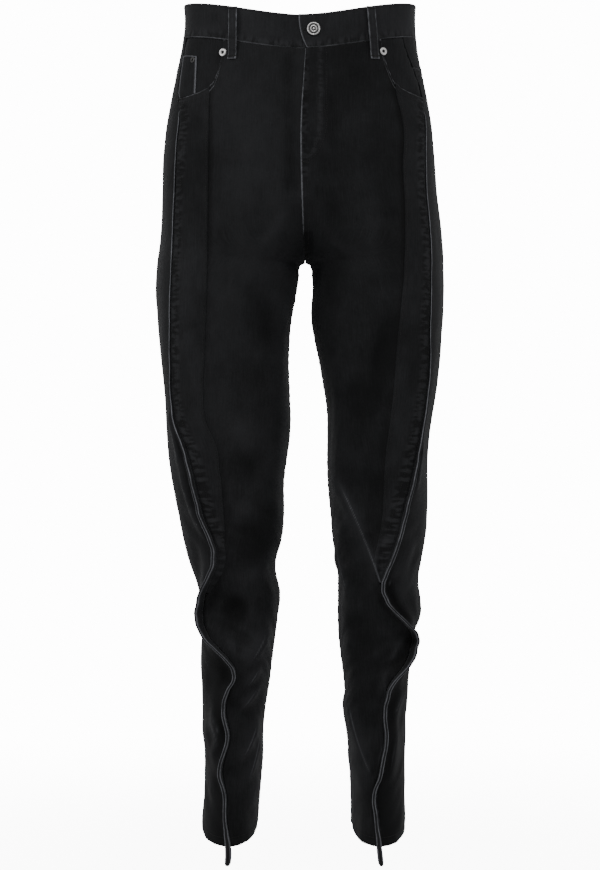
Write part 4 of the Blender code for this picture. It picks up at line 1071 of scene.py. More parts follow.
def make_strip(leg, cloth):
    """The shaped strip between the front panel and the standing edge, laid on and topstitched."""
    last = strip_end(leg)

    def turns_at(down, shares):
        ring = Ring(leg, down)
        first = ring.strip_seam() - SEAM_LAP / ring.deep
        return first + (ring.before - first) * shares

    def top_at(turn, down):
        return leg.scoop.read("down", Ring(leg, down).out_at(turn))

    rows = 100.0 + spaced(last - 100.0, ROW_STEP)
    panel = Panel(leg, turns_at, rows, top_at, None, 3.2)
    down = panel.down
    narrow = smooth_step(panel.width[:, None] / 16)
    away = smooth_step(panel.from_last / 3)
    lower = 1 - 0.45 * smooth_step((down - 300) / 200)
    panel.raised = panel.raised + STRIP_RAISE * narrow * away * lower
    ridge = bell(panel.from_first - 2.4, 2.2)
    panel.raised = panel.raised + 0.35 * ridge * narrow
    panel.seam(panel.from_first, down, 5, 14, 0.12 * narrow, 0.1, 31)
    band = np.abs(panel.from_last - 7.5)
    slant = down + 0.5 * panel.from_last
    panel.seam(band, slant, 9.5, 7.0, 0.7 * away * narrow, 0.12, 33, away * narrow)
    panel.seam(panel.from_last, down, 4, 9, 0.0, 0.3, 34)
    panel.seam(panel.from_top, panel.out, 10, 8, 0.35, 0.85, 35)
    outer, inner = panel.walls(panel.rounded(last=False))
    tuck_under_edge(leg, panel.down[:, -1], -1, outer, inner, -1)
    return panel, panel.shell("cloth_strip_" + leg.name, outer, inner, cloth)


def make_back(leg, cloth):
    """The back panel, from the standing edge round to the centre back and the inseam."""

    def top_at(turn, down):
        return yoke_seam(turn) + SEAM_GAP / 2

    rows = 84.0 + spaced(HEM - 84.0, 2.9)
    panel = Panel(leg, back_turns(leg), rows, top_at, hem_down, 4.6)
    down = panel.down
    seat = smooth_step((CROTCH + 20 - down) / 30)
    lapped = 1.0 if leg is LEFT else smooth_step((down - CROTCH) / 14)
    panel.raised = panel.raised + LAP_RAISE * smooth_step(1 - panel.from_last / 9) * lapped
    panel.seam(panel.from_last, down, 14, 10, 0.5 * seat, 0.6 * seat, 41)
    panel.seam(panel.from_last, down, 10, 12, 0.35 * (1 - seat), 0.9 * (1 - seat), 42)
    panel.seam(panel.from_first, down, 9, 11, 0.3, 0.4, 43)
    panel.seam(panel.from_top, panel.out, 12, 9, 0.4, 0.5, 44)
    panel.seam(panel.from_bottom, panel.out, 15, 10, 0.55, 0.4, 45)
    # Painted shade: the back panel darkened behind the standing edge below the knee
    painted_edge_shade = smooth_step(1.4 - panel.from_first / 60)
    panel.tint = panel.tint - 0.7 * painted_edge_shade * smooth_step((down - 760) / 70)
    beside = (panel.turn - panel.ring.edge) * panel.ring.root
    # Ridges behind the standing edge paler: partly real wear and partly a painted highlight
    panel.rub(ridges_worn_and_lit(leg, down, beside))
    if leg is LEFT:
        # Painted shade: the back panel darkened in the hollow behind the left standing edge
        lens = np.sin(math.pi * np.clip((down - LENS_TOP) / (LENS_BOTTOM - LENS_TOP), 0, 1))
        panel.tint = panel.tint - 2.2 * smooth_step((LENS_WIDTH * lens - beside) / 3)
    outer, inner = panel.walls(panel.rounded(first=False))
    tuck_under_edge(leg, panel.down[:, 0], 1, outer, inner, 0)
    return panel, panel.shell("cloth_back_" + leg.name, outer, inner, cloth)


def make_yoke(leg, cloth):
    """The yoke between the waistband and the back panel."""
    turns_at = back_turns(leg)
    shares = column_shares(np.full(1, YOKE_LENGTH), 4.3)[0]
    top = settle(shares, turns_at, lambda turn, down: waist_seam(turn) + 0.1, 42.0)
    bottom = settle(shares, turns_at, lambda turn, down: yoke_seam(turn) - SEAM_GAP / 2, 95.0)
    steps = spaced(60.0, ROW_STEP)[:, None] / 60.0
    down = top + (bottom - top) * steps
    turn = turns_at(down, np.broadcast_to(shares, down.shape))
    base = Ring(leg, down).surface(turn)
    normal = outward(leg, down, turn)
    from_top = down - top
    from_bottom = bottom - down
    from_first = np.broadcast_to(shares * YOKE_LENGTH, down.shape)
    from_last = YOKE_LENGTH - from_first
    wave = 0.45 * pucker(from_first, from_bottom, 11, 9, 46)
    wave = wave + 0.35 * pucker(from_first, from_top, 10, 9, 47)
    wave = wave + 0.4 * pucker(down, from_last, 11, 9, 48)
    sink = np.maximum(round_over(from_top), round_over(from_bottom))
    sink = np.maximum(sink, round_over(from_last))
    outer = base + normal * (wave + 0.5 * smooth_step(1 - from_bottom / 12) - sink)[..., None]
    inner = base - normal * WALL
    wear = 0.6 * bell(np.minimum(from_bottom, from_last), 1.3) + 0.2 * np.clip(wave, 0, 1)
    tuck_under_edge(leg, down[:, 0], 1, outer, inner, 0)
    uv = np.stack((from_first, -down), axis=-1)
    return add_shell("cloth_yoke_" + leg.name, outer, inner, uv, wear, cloth)


def add_loops(name, loops, values, materials):
    """A closed body from cross-section loops, with the ends filled."""
    rows, corners, _ = loops.shape
    points = loops.reshape(-1, 3)
    index = np.arange(rows * corners).reshape(rows, corners)
    after = np.roll(index, -1, axis=1)
    a = index[:-1].ravel()
    b = after[:-1].ravel()
    c = after[1:].ravel()
    d = index[1:].ravel()
    faces = [tuple(face) for face in np.stack((a, b, c, d), axis=1)]
    faces.append(tuple(index[0, ::-1]))
    faces.append(tuple(index[-1]))
    lengths = np.cumsum(np.linalg.norm(np.diff(loops, axis=0, prepend=loops[:1]), axis=-1), axis=0)
    girth = np.linalg.norm(np.diff(loops, axis=1, prepend=loops[:, :1]), axis=-1).cumsum(axis=1)
    uv = np.stack((girth.ravel(), -lengths.ravel()), axis=-1) * MM
    item = add_mesh(name, points, faces, materials, None, uv, values)
    shape = bmesh.new()
    shape.from_mesh(item.data)
    bmesh.ops.recalc_face_normals(shape, faces=shape.faces)
    shape.to_mesh(item.data)
    shape.free()
    return item


# Outline of the standing edge from its root to its tip and back: place between root and tip,
# hand (-1 front, 1 back) as a share of half its thickness, and how worn it is
EDGE_OUTLINE = (
    (0.0, -1.0, 0.1), (0.25, -1.0, 0.15), (0.5, -1.0, 0.2), (0.75, -1.0, 0.35), (0.9, -1.02, 0.7),
    (0.975, -0.94, 1.0), (1.0, -0.72, 1.0), (0.992, -0.45, 0.45), (0.975, 0.0, 0.1),
    (0.992, 0.45, 0.45), (1.0, 0.72, 1.0), (0.975, 0.94, 1.0), (0.9, 1.02, 0.7), (0.75, 1.0, 0.35),
    (0.5, 1.0, 0.2), (0.25, 1.0, 0.15), (0.0, 1.0, 0.1),
)


def make_edge(leg, cloth):
    """The standing edge, a stiff folded welt that ends in a tongue below the hem."""
    hem = hem_down(Ring(leg, HEM).edge)
    rows = np.concatenate((
        LEVEL_TOP + spaced(TONGUE_END - LEVEL_TOP, 2.6)[:-3],
        TONGUE_END - np.array([1.2, 0.5, 0.0]),
    ))
    ring = Ring(leg, rows)
    below = np.clip((rows - hem) / (TONGUE_END - hem), 0, 1)
    root = ring.root - EDGE_SINK + (ring.tip - ring.root) * TONGUE_NARROWING * below
    end = np.clip((rows - TONGUE_END + TONGUE_TIP) / TONGUE_TIP, 0, 1)
    start = np.clip((LEVEL_TOP + 9 - rows) / 9, 0, 1)
    blunt = np.sqrt(np.clip(1 - 0.86 * end ** 2, 0, 1))
    tall = (1 - 0.75 * start ** 2) * (1 - 0.12 * end ** 2)
    wavy = 0.16 * soft_noise(rows / 13, 0 * rows, 51) * ring.thick
    loops = []
    wear = []
    level = 0 * rows
    for place, hand, worn in EDGE_OUTLINE:
        reach = root + (ring.tip - root) * place * tall
        side = hand * blunt * ring.thick / 2 + wavy * place
        loops.append(ring.place(ring.edge + side / reach, reach))
        patchy = 0.8 + 0.2 * soft_noise(rows / 9, level + 7 * hand, 52)
        low = smooth_step((rows - 500) / 220)
        high = 0.9 if place > 0.85 and hand < 0 else 0.2 * worn
        wear.append((worn * 0.72 * low + high * (1 - low)) * patchy)
    loops = np.stack(loops, axis=1)
    wear = np.stack(wear, axis=1)
    values = {"wear": wear.ravel(), "tint": np.zeros(wear.size)}
    return add_loops("cloth_edge_" + leg.name, loops, values, cloth)


def make_waistband(cloth):
    """One strip round the waist, its left end lapped over its right end."""
    places = spaced(BAND_HEIGHT, 2.4)
    rows = places / BAND_HEIGHT
    lap_edge = lap_turn(rows)
    outer = []
    inner = []
    wear = []
    uv = []
    ropes = []
    from_seam = BAND_HEIGHT - places
    rim = np.maximum(round_over(places, 1.2), round_over(from_seam, 0.9))
    state = {"run": 0.0}

    def column(leg, turn, sink, step, end=0.0, tip=0.0):
        state["run"] += step
        turn = turn + 0 * rows
        down = waist_top(turn) + BAND_HEIGHT * rows
        points = Ring(leg, down).surface(turn)
        normal = outward(leg, down, turn)
        run = state["run"] + 0 * rows
        wave = 0.28 * pucker(run, places, 12, 8, 61)
        wave = wave + 0.34 * pucker(run, from_seam, 12, 8, 62)
        wave = wave + 0.25 * soft_noise(run / 40, places / 22, 63)
        rounded = np.maximum(rim, end)
        outer.append(points + normal * (wave - sink - rounded)[:, None])
        inner.append(points - normal * (sink + BAND_WALL - np.minimum(rounded, 1.1))[:, None])
        worn = 0.6 * bell(places, 1.5) + 0.85 * bell(from_seam, 1.1)
        worn = worn + 0.22 * np.clip(wave, 0, 1) + 1.4 * tip
        rope = 0.9 * smooth_step(1.3 - from_seam / 10)
        ropes.append(np.maximum(rope, 0.35 * smooth_step(1.2 - places / 8)))
        wear.append(worn * (0.75 + 0.25 * soft_noise(run / 17, places / 9, 64)))
        uv.append(np.stack((run, -places), axis=-1))

    girth = math.pi * WAIST_HALF_WIDTH * 0.86
    turns = spaced(girth, COLUMN_STEP) / girth * math.pi
    steps = np.diff(turns, prepend=turns[0]) / math.pi * girth
    for turn, step in zip(turns, steps):
        near = turn / math.pi * girth
        tip = math.exp(-((near / 2.4) ** 2))
        lapped = turn + lap_edge * max(0.0, 1 - near / 30)
        column(LEFT, lapped, 0.0, step, round_over(near, 1.2), tip)
    under = BAND_WALL + RIDE_GAP
    for turn, step in zip(turns[-2::-1], steps[:0:-1]):
        ease = (LAP_EASE - turn * WAIST_HALF_WIDTH) / (LAP_EASE - LAP_FLAT)
        column(RIGHT, turn, under * np.clip(ease, 0, 1), step)
    for place in np.linspace(0, LAP_UNDER, 12)[1:]:
        end = round_over(LAP_UNDER - place, 1.2)
        column(LEFT, place / WAIST_HALF_WIDTH, under, LAP_UNDER / 11, end)
    grids = [np.stack(each, axis=1) for each in (outer, inner, uv, wear)]
    return add_shell("cloth_waistband", *grids, cloth, 0.3, np.stack(ropes, axis=1))


def patch(name, leg, out, down, lift, borders, cloth, waves, worn, back=False, past=0.0):
    """A piece that lies on a panel, or behind it, made from the panel's points moved out."""
    ring = Ring(leg, down)
    turn = ring.turn_for(out, back) + past / ring.root
    base = ring.surface(turn)
    normal = outward(leg, down, turn)
    near = np.minimum.reduce(borders)
    sink = round_over(near, 0.8)
    outer = base + normal * (lift + PATCH_WALL + waves - sink)[..., None]
    inner = base + normal * (lift + 0 * waves + 0 * sink)[..., None]
    wear = worn * bell(near, 1.4) + 0.25 * np.clip(waves, 0, 1)
    uv = np.stack((out, -down), axis=-1)
    return add_shell(name, outer, inner, uv, wear, cloth)


def side_rise(leg, down, out):
    """How far the facing comes out to the level of the side, from 0 to 1."""
    width = leg.edge.read("out", down) - out
    mouth = leg.scoop.read("down", np.maximum(out, leg.scoop.rows[0, 0]))
    rise = smooth_step((24 - width) / 16) * smooth_step((mouth - down - 1.5) / 6)
    return rise * smooth_step((width + 0.4) / 1.2)


def make_facing(leg, cloth):
    """The hip-pocket facing, behind the scooped mouth."""
    seam = leg.edge.read("out", np.array([60.0, 118.0]))
    shares = spaced(60.0, 2.6) / 60.0
    steps = spaced(60.0, 2.6)[:, None] / 60.0
    out_top = FACING_INNER + (seam[0] - FACING_INNER + FACING_UNDER) * shares
    inner_bottom = FACING_INNER + FACING_SLANT
    out_bottom = inner_bottom + (seam[1] - inner_bottom + FACING_UNDER) * shares
    top = waist_seam(Ring(leg, 60.0 + 0 * out_top).turn_for(out_top)) + 0.5
    mouth = leg.scoop.read("down", np.maximum(out_bottom, leg.scoop.rows[0, 0]))
    bottom = np.maximum(mouth, FACING_LEAST_DEPTH)
    bottom = bottom + FACING_BEHIND - (FACING_BEHIND - 7.0) * smooth_step(4 * shares - 3)
    top = top - FACING_ABOVE
    down = top + (bottom - top) * steps
    out = out_top + (out_bottom - out_top) * steps
    rise = side_rise(leg, down, out) * smooth_step((down - top - FACING_ABOVE - 0.3) / 2.5)
    sink = -(WALL + PATCH_LIFT + PATCH_WALL) + (WALL + PATCH_LIFT - 0.4) * rise
    borders = (down - top, (out - out_top) + 20, (1 - shares) * 60.0 + 0 * down)
    waves = 0.3 * soft_noise(out / 19, down / 13, 71 + leg.side)
    waves = waves + 0.3 * pucker(out, down - top, 9, 8, 72)
    past = np.clip(out - leg.edge.read("out", down), 0, None)
    name = "cloth_facing_" + leg.name
    return patch(name, leg, out, down, sink, borders, cloth, waves, 0.5, past=past)


def make_coin_pocket(cloth):
    """The small pocket on the right facing."""
    columns = spaced(20.0, 1.6) / 20.0
    steps = spaced(44.0, 2.2)[:, None] / 44.0
    top = COIN_TOP_INNER + (COIN_TOP_OUTER - COIN_TOP_INNER) * columns
    side = RIGHT.edge.read("out", top + 36.0 * steps) - 1.2
    out = COIN_INNER + COIN_SLANT * steps + (side - COIN_INNER - COIN_SLANT * steps) * columns
    bottom = RIGHT_SCOOP.read("down", out[-1]) - COIN_TO_MOUTH
    down = top + (bottom - top) * steps
    borders = (down - top, COIN_WIDTH * columns + 0 * down, COIN_WIDTH * (1 - columns) + 0 * down)
    waves = 0.25 * pucker(out, down - top, 9, 7, 73)
    lift = -WALL + (WALL - 0.1) * side_rise(RIGHT, down, out)
    return patch("cloth_coin_pocket", RIGHT, out, down, lift, borders, cloth, waves, 0.9)


def make_back_pocket(leg, cloth):
    """A plain five-sided patch pocket on the seat."""
    across = spaced(BACK_POCKET_WIDTH, 3.4) / BACK_POCKET_WIDTH
    steps = spaced(130.0, 3.0)[:, None] / 130.0
    point = BACK_POCKET_POINT * (1 - np.abs(2 * across - 1))
    down = BACK_POCKET_TOP + (BACK_POCKET_SIDE_LENGTH + point) * steps
    narrow = BACK_POCKET_TAPER * steps
    out = BACK_POCKET_INNER + narrow + (BACK_POCKET_WIDTH - 2 * narrow) * across
    length = BACK_POCKET_SIDE_LENGTH + point
    borders = (
        length * steps,
        length * (1 - steps),
        BACK_POCKET_WIDTH * across + 0 * down,
        BACK_POCKET_WIDTH * (1 - across) + 0 * down,
    )
    near = np.minimum.reduce(borders)
    run = out + down
    waves = 0.35 * pucker(run, near, 10, 8, 74 + leg.side)
    waves = waves + 0.4 * soft_noise(out / 38, down / 31, 76 + leg.side)
    name = "cloth_back_pocket_" + leg.name
    return patch(name, leg, out, down, PATCH_LIFT, borders, cloth, waves, 0.8, back=True)


def make_fly(cloth):
    """The fly piece behind the centre front."""
    steps = np.linspace(0, 1, 48)
    down = FLY_TOP + (FLY_END - FLY_TOP) * steps
    narrow = FLY_TAPER * steps ** 3
    level = 0 * steps
    right = FLY_WIDTH_RIGHT - narrow
    left = FLY_WIDTH_LEFT - narrow
    widths = [-share * right for share in (1.0, 0.97, 0.8, 0.6, 0.4)]
    widths += [level + place for place in (-4.0, -0.6, 0.6, 5.0)]
    widths += [share * left for share in (0.3, 0.45, 0.6, 0.8, 0.97, 1.0)]
    sink = WALL + FLY_DEPTH
    outer = []
    inner = []
    uv = []
    for out in widths:
        leg = RIGHT if out[0] < 0 else LEFT
        ring = Ring(leg, down)
        turn = ring.turn_for(np.abs(out))
        base = ring.surface(turn)
        normal = outward(leg, down, turn)
        outer.append(base - normal * sink)
        inner.append(base - normal * (sink + PATCH_WALL))
        uv.append(np.stack((out, -down), axis=-1))
    outer = np.stack(outer, axis=1)
    inner = np.stack(inner, axis=1)
    wear = np.zeros(outer.shape[:2])
    return add_shell("cloth_fly", outer, inner, np.stack(uv, axis=1), wear, cloth)


# Outline of a belt loop's cross-section: across and height as shares, and how worn it is
LOOP_OUTLINE = (
    (-1.0, 0.05, 0.3), (-1.0, 0.55, 0.7), (-0.96, 0.86, 1.0), (-0.86, 1.0, 0.8), (-0.62, 1.0, 0.1),
    (-0.3, 1.06, 0.2), (0.0, 1.1, 0.25), (0.3, 1.06, 0.2), (0.62, 1.0, 0.1), (0.86, 1.0, 0.8),
    (0.96, 0.86, 1.0), (1.0, 0.55, 0.7), (1.0, 0.05, 0.3), (0.4, 0.0, 0.0), (-0.4, 0.0, 0.0),
)


def level_way(normal):
    """The level direction along the cloth."""
    way = np.cross(normal, np.array([0.0, 0.0, 1.0]))
    return way / np.linalg.norm(way, axis=-1, keepdims=True)


def loop_line(leg, turn, shares):
    """The line down a belt loop: points of the cloth, their normals and the level direction."""
    down = waist_top(turn) + 0.5 + LOOP_LENGTH * shares
    turn = turn + 0 * shares
    normal = outward(leg, down, turn)
    return Ring(leg, down).surface(turn), normal, level_way(normal)


def make_belt_loop(name, leg, turn, lean, cloth):
    """A loop that rests on the cloth at both ends and arches over the waistband."""
    shares = spaced(LOOP_LENGTH, 2.0) / LOOP_LENGTH
    middle, normal, along = loop_line(leg, turn, shares)
    bow = np.sin(np.pi * np.clip(shares / 0.86, 0, 1)) ** 0.6
    run = shares * LOOP_LENGTH
    lift = LOOP_REST + LOOP_ARCH * bow + 0.2 * np.sin(run / 1.4)
    ends = np.minimum(run, run[-1] - run)
    thick = LOOP_WALL * (0.55 + 0.45 * np.sqrt(np.clip(ends / 1.2, 0, 1)))
    half = LOOP_WIDTH / 2 * (1 + 0.03 * soft_noise(run / 9, 0 * run, 80 + lean))
    loops = []
    wear = []
    for across, height, worn in LOOP_OUTLINE:
        point = middle + along * (lean * shares + half * across)[:, None]
        loops.append(point + normal * (lift + thick * height)[:, None])
        patchy = 0.7 + 0.3 * soft_noise(run / 6, 0 * run + across, 81)
        wear.append(worn * patchy + 0.5 * np.exp(-ends / 1.2))
    loops = np.stack(loops, axis=1)
    wear = np.clip(np.stack(wear, axis=1), 0, 1)
    values = {"wear": wear.ravel(), "tint": np.full(wear.size, 0.4)}
    return add_loops("cloth_" + name, loops, values, cloth)


# Shaders

class Wire:
    """A shader socket that takes part in sums as if it were a number."""

    def __init__(self, tree, socket):
        self.tree = tree
        self.socket = socket

    def node(self, kind, settings, values, output=0):
        """A new node with its settings and its inputs, as numbers or as wires."""
        made = self.tree.nodes.new(kind)
        for name, value in settings.items():
            setattr(made, name, value)
        for name, value in values.items():
            if isinstance(value, Wire):
                self.tree.links.new(value.socket, made.inputs[name])
            else:
                made.inputs[name].default_value = value
        return Wire(self.tree, made.outputs[output])

    def into(self, shader, name):
        """Joins this wire to an input of a shader."""
        self.tree.links.new(self.socket, shader.inputs[name])

    def carried(self, name):
        """A number that the mesh carries on its points."""
        return self.node("ShaderNodeAttribute", {"attribute_name": name}, {}, 2)

    def place(self):
        """The point on the piece."""
        return self.node("ShaderNodeTexCoord", {}, {}, 3)

    def bump(self, shader, strength, distance, height):
        """Lets a height bend the light on a shader's surface."""
        values = {"Strength": strength, "Distance": distance, "Height": height}
        self.node("ShaderNodeBump", {}, values).into(shader, "Normal")

    def maths(self, operation, *others, clamp=False):
        values = dict(enumerate((self,) + others))
        return self.node("ShaderNodeMath", {"operation": operation, "use_clamp": clamp}, values)

    def __add__(self, other):
        return self.maths("ADD", other)

    __radd__ = __add__

    def __mul__(self, other):
        return self.maths("MULTIPLY", other)

    __rmul__ = __mul__

    def __sub__(self, other):
        return self.maths("SUBTRACT", other)

    def __rsub__(self, other):
        return (self * -1.0) + other

    def __truediv__(self, other):
        return self.maths("DIVIDE", other)

    def clamped(self):
        return self.maths("ADD", 0.0, clamp=True)

    def ranged(self, low, high, new_low=0.0, new_high=1.0):
        """Moves a range of values to another one, and holds it there."""
        settings = {"interpolation_type": "SMOOTHSTEP"}
        values = {"Value": self, "From Min": low, "From Max": high}
        values.update({"To Min": new_low, "To Max": new_high})
        return self.node("ShaderNodeMapRange", settings, values)

    def between(self, first, second):
        """A colour between two colours, by this value."""
        settings = {"data_type": "RGBA"}
        return self.node("ShaderNodeMix", settings, {0: self, 6: first, 7: second}, 2)

    def stretched(self, x, y, z=1.0):
        """A vector with each of its parts multiplied."""
        settings = {"operation": "MULTIPLY"}
        return self.node("ShaderNodeVectorMath", settings, {0: self, 1: (x, y, z)})

    def noise(self, scale, detail=2.0, roughness=0.5):
        """Noise over this vector, from 0 to 1."""
        values = {"Vector": self, "Scale": scale, "Detail": detail, "Roughness": roughness}
        return self.node("ShaderNodeTexNoise", {"noise_dimensions": "3D"}, values)


def new_look(name):
    """A material with a Principled shader, and a wire to start from."""
    made = bpy.data.materials.new(name)
    made.use_nodes = True
    tree = made.node_tree
    shader = tree.nodes["Principled BSDF"]
    return made, shader, Wire(tree, None)


def cool(level):
    """A grey that leans to blue, like washed black denim."""
    return (level * 0.98, level, level * 1.1, 1.0)


def grey(value, warmth=0.0):
    """A grey colour, a little warmer or cooler."""
    return (value * (1 + warmth), value, value * (1 - warmth), 1.0)


def denim(name, dark, light, worn, sheen=0.1, ladder=(70.0, 190.0)):
    """Washed black denim from its dark, light and worn colours: twill, slubs, wash and wear, plus
    the painted shade and painted highlights of folds, creases and hollows that the mesh carries with
    its tone.

    The ladder says how close the pale rungs of a puckered seam lie, along it and across it."""
    made, shader, start = new_look(name)
    uv = start.node("ShaderNodeUVMap", {"uv_map": "UVMap"}, {})
    place = start.place()
    wear = start.carried("wear")
    # Carried tone: the cloth's own wash, mixed with painted shade in troughs, hollows and cast
    # shadows and painted highlights along creases
    tint = start.carried("tint")
    rope = start.carried("rope")

    across = start.node("ShaderNodeSeparateXYZ", {}, {0: uv})
    along = Wire(across.tree, across.socket.node.outputs[1])
    twill = ((across * 0.82 + along * 0.57) * (math.tau / TWILL_PITCH)).maths("SINE")
    yarn = (across * (math.tau / YARN_PITCH)).maths("SINE")
    weave = twill * 0.7 + yarn * 0.3

    slub = uv.stretched(900.0, 34.0).noise(1.0)
    short_slub = uv.stretched(1500.0, 160.0).noise(1.0, 1.0)
    cloud = place.noise(9.0, 3.0, 0.55)
    blotch = place.noise(46.0, 3.0, 0.6)
    fine = place.noise(420.0, 2.0, 0.6)

    rungs = uv.stretched(ladder[0], ladder[1]).noise(1.0, 1.0, 0.4).ranged(0.4, 0.62) * rope

    wash = slub * 0.34 + short_slub * 0.2 + cloud * 0.5 + blotch * 0.28 + weave * 0.06 + tint * 0.5
    wash = wash + rungs * 0.42 - rope * 0.16
    wash = wash.ranged(0.42, 1.05)
    base = wash.between(dark, light)
    rubbed = (wear * (fine * 0.7 + blotch * 0.5 + 0.35) + weave * 0.05 * wear).ranged(0.12, 0.95)
    colour = rubbed.between(base, worn)
    colour.into(shader, "Base Color")

    rough = 0.86 + (fine - 0.5) * 0.16 - wash * 0.05
    rough.clamped().into(shader, "Roughness")
    shader.inputs["Specular IOR Level"].default_value = 0.28
    shader.inputs["Sheen Weight"].default_value = sheen
    shader.inputs["Sheen Roughness"].default_value = 0.42
    shader.inputs["Sheen Tint"].default_value = (0.78, 0.8, 0.84, 1.0)

    height = weave * 0.5 + slub * 0.9 + short_slub * 0.6 + fine * 0.8 + rungs * 3.2
    start.bump(shader, 0.5, 0.00022, height)
    return made


def thread_look(name, dark, light):
    """Polyester-wrapped sewing thread with its twist."""
    made, shader, start = new_look(name)
    place = start.place()
    fade = place.noise(70.0)
    twist = place.noise(2600.0, 1.0)
    colour = (fade * 0.7 + twist * 0.4).ranged(0.35, 0.85).between(dark, light)
    colour.into(shader, "Base Color")
    rough = 0.55 + twist * 0.2
    rough.into(shader, "Roughness")
    start.bump(shader, 0.4, 0.0001, twist)
    shader.inputs["Sheen Weight"].default_value = 0.05
    return made


def metal_look(name, bright, dull, rough_low, rough_high):
    """Worn plated metal with fine scratches and grime in its hollows."""
    made, shader, start = new_look(name)
    place = start.place()
    hollow = start.carried("hollow")
    smudge = place.noise(420.0, 3.0)
    scratch = place.stretched(9000.0, 500.0, 500.0).noise(1.0)
    grime = (hollow * 0.85 + smudge * 0.3).ranged(0.25, 0.95)
    colour = grime.between(bright, dull)
    colour.into(shader, "Base Color")
    rough = (smudge * 0.5 + scratch * 0.5 + hollow * 0.25).ranged(0.3, 0.9, rough_low, rough_high)
    rough.into(shader, "Roughness")
    shader.inputs["Metallic"].default_value = 1.0
    start.bump(shader, 0.15, 0.00005, scratch)
    return made


def floor_look():
    """Plain pale studio floor."""
    made, shader, start = new_look("studio_floor")
    place = start.place()
    cloud = place.noise(1.3)
    colour = cloud.between((0.84, 0.84, 0.84, 1.0), (0.88, 0.88, 0.88, 1.0))
    colour.into(shader, "Base Color")
    shader.inputs["Roughness"].default_value = 0.9
    return made


# Stitching

def stitch_tree(material, name):
    """Nodes that lay stitches along paths: resampled at a pitch, turned to the cloth."""
    tree = bpy.data.node_groups.new(name, "GeometryNodeTree")
    kinds = {"Paths": "Geometry"}
    kinds.update({label: "Float" for label in STITCH_SIZES})
    kinds["Seed"] = "Int"
    sockets = {}
    for label, kind in kinds.items():
        made = tree.interface.new_socket(label, in_out="INPUT", socket_type="NodeSocket" + kind)
        sockets[label] = made
    tree.interface.new_socket("Stitches", in_out="OUTPUT", socket_type="NodeSocketGeometry")
    inputs = tree.nodes.new("NodeGroupInput").outputs
    given = {label: Wire(tree, inputs[label]) for label in kinds}
    node = Wire(tree, None).node

    curve = node("GeometryNodeMeshToCurve", {}, {0: given["Paths"]})
    even = {"Curve": curve, "Length": given["Pitch"]}
    even = node("GeometryNodeResampleCurve", {"mode": "LENGTH"}, even)

    bead = node("GeometryNodeMeshUVSphere", {}, {"Segments": 6, "Rings": 4, "Radius": 0.5})
    bead = node("GeometryNodeSetShadeSmooth", {}, {0: bead})
    size = {0: given["Height"], 1: given["Width"], 2: given["Length"]}
    size = node("ShaderNodeCombineXYZ", {}, size)
    bead = node("GeometryNodeTransform", {}, {"Geometry": bead, "Scale": size})

    tangent = node("GeometryNodeInputTangent", {}, {})
    facing = {"data_type": "FLOAT_VECTOR"}
    facing = node("GeometryNodeInputNamedAttribute", facing, {"Name": "facing"})
    turn = node("FunctionNodeAlignRotationToVector", {"axis": "Z"}, {"Vector": tangent})
    upright = {"axis": "X", "pivot_axis": "Z"}
    turn = node("FunctionNodeAlignRotationToVector", upright, {"Rotation": turn, "Vector": facing})

    jitter = {2: 0.86, 3: 1.08, "Seed": given["Seed"]}
    jitter = node("FunctionNodeRandomValue", {"data_type": "FLOAT"}, jitter, 1)
    laid = {"Points": even, "Instance": bead, "Rotation": turn, "Scale": jitter}
    laid = node("GeometryNodeInstanceOnPoints", {}, laid)
    real = node("GeometryNodeRealizeInstances", {}, {0: laid})
    look = node("GeometryNodeSetMaterial", {}, {0: real, "Material": material})
    tree.links.new(look.socket, tree.nodes.new("NodeGroupOutput").inputs[0])
    return tree, {label: socket.identifier for label, socket in sockets.items()}


class Threads:
    """Lines of stitches that lie on the finished cloth."""

    def __init__(self, name, cloths):
        self.name = name
        self.paths = []
        points = []
        faces = []
        for cloth in cloths:
            count = len(points)
            mesh = cloth.data
            spots = np.empty(len(mesh.vertices) * 3, dtype=np.float32)
            mesh.vertices.foreach_get("co", spots)
            points += spots.reshape(-1, 3).tolist()
            faces += [[count + corner for corner in face.vertices] for face in mesh.polygons]
        self.tree = BVHTree.FromPolygons(points, faces)

    def lay(self, points, normals):
        """Adds a path, pressed on to the nearest cloth."""
        spots = []
        ways = []
        for point, normal in zip(points * MM, normals):
            start = Vector(point) + Vector(normal) * 0.006
            spot, way, _, _ = self.tree.ray_cast(start, -Vector(normal), 0.012)
            if spot is None:
                continue
            spots.append(spot + Vector(normal) * THREAD_ABOVE * MM)
            ways.append(Vector(normal))
        if len(spots) > 2:
            self.paths.append((spots, ways))

    def on(self, leg, down, turn):
        """Adds a path by its heights and turns on a leg."""
        self.lay(Ring(leg, down).surface(turn), outward(leg, down, turn))

    def sew(self, material, sizes, seed=1):
        """Makes the stitches, as one plain mesh, from (pitch, length, width, height)."""
        points = []
        edges = []
        ways = []
        for spots, normals in self.paths:
            count = len(points)
            points += [tuple(spot) for spot in spots]
            ways += [value for way in normals for value in way]
            edges += [(count + index, count + index + 1) for index in range(len(spots) - 1)]
        mesh = bpy.data.meshes.new(self.name + "_paths")
        mesh.from_pydata(points, edges, [])
        facing = mesh.attributes.new("facing", "FLOAT_VECTOR", "POINT")
        facing.data.foreach_set("vector", ways)
        paths = link(bpy.data.objects.new(self.name + "_paths", mesh))
        tree, names = stitch_tree(material, self.name + "_nodes")
        modifier = paths.modifiers.new("stitches", "NODES")
        modifier.node_group = tree
        for label, size in zip(STITCH_SIZES, sizes):
            modifier[names[label]] = size * MM
        modifier[names["Seed"]] = seed
        view = bpy.context.evaluated_depsgraph_get()
        made = bpy.data.meshes.new_from_object(paths.evaluated_get(view))
        made.name = self.name
        item = link(bpy.data.objects.new(self.name, made))
        bpy.data.objects.remove(paths, do_unlink=True)
        return item


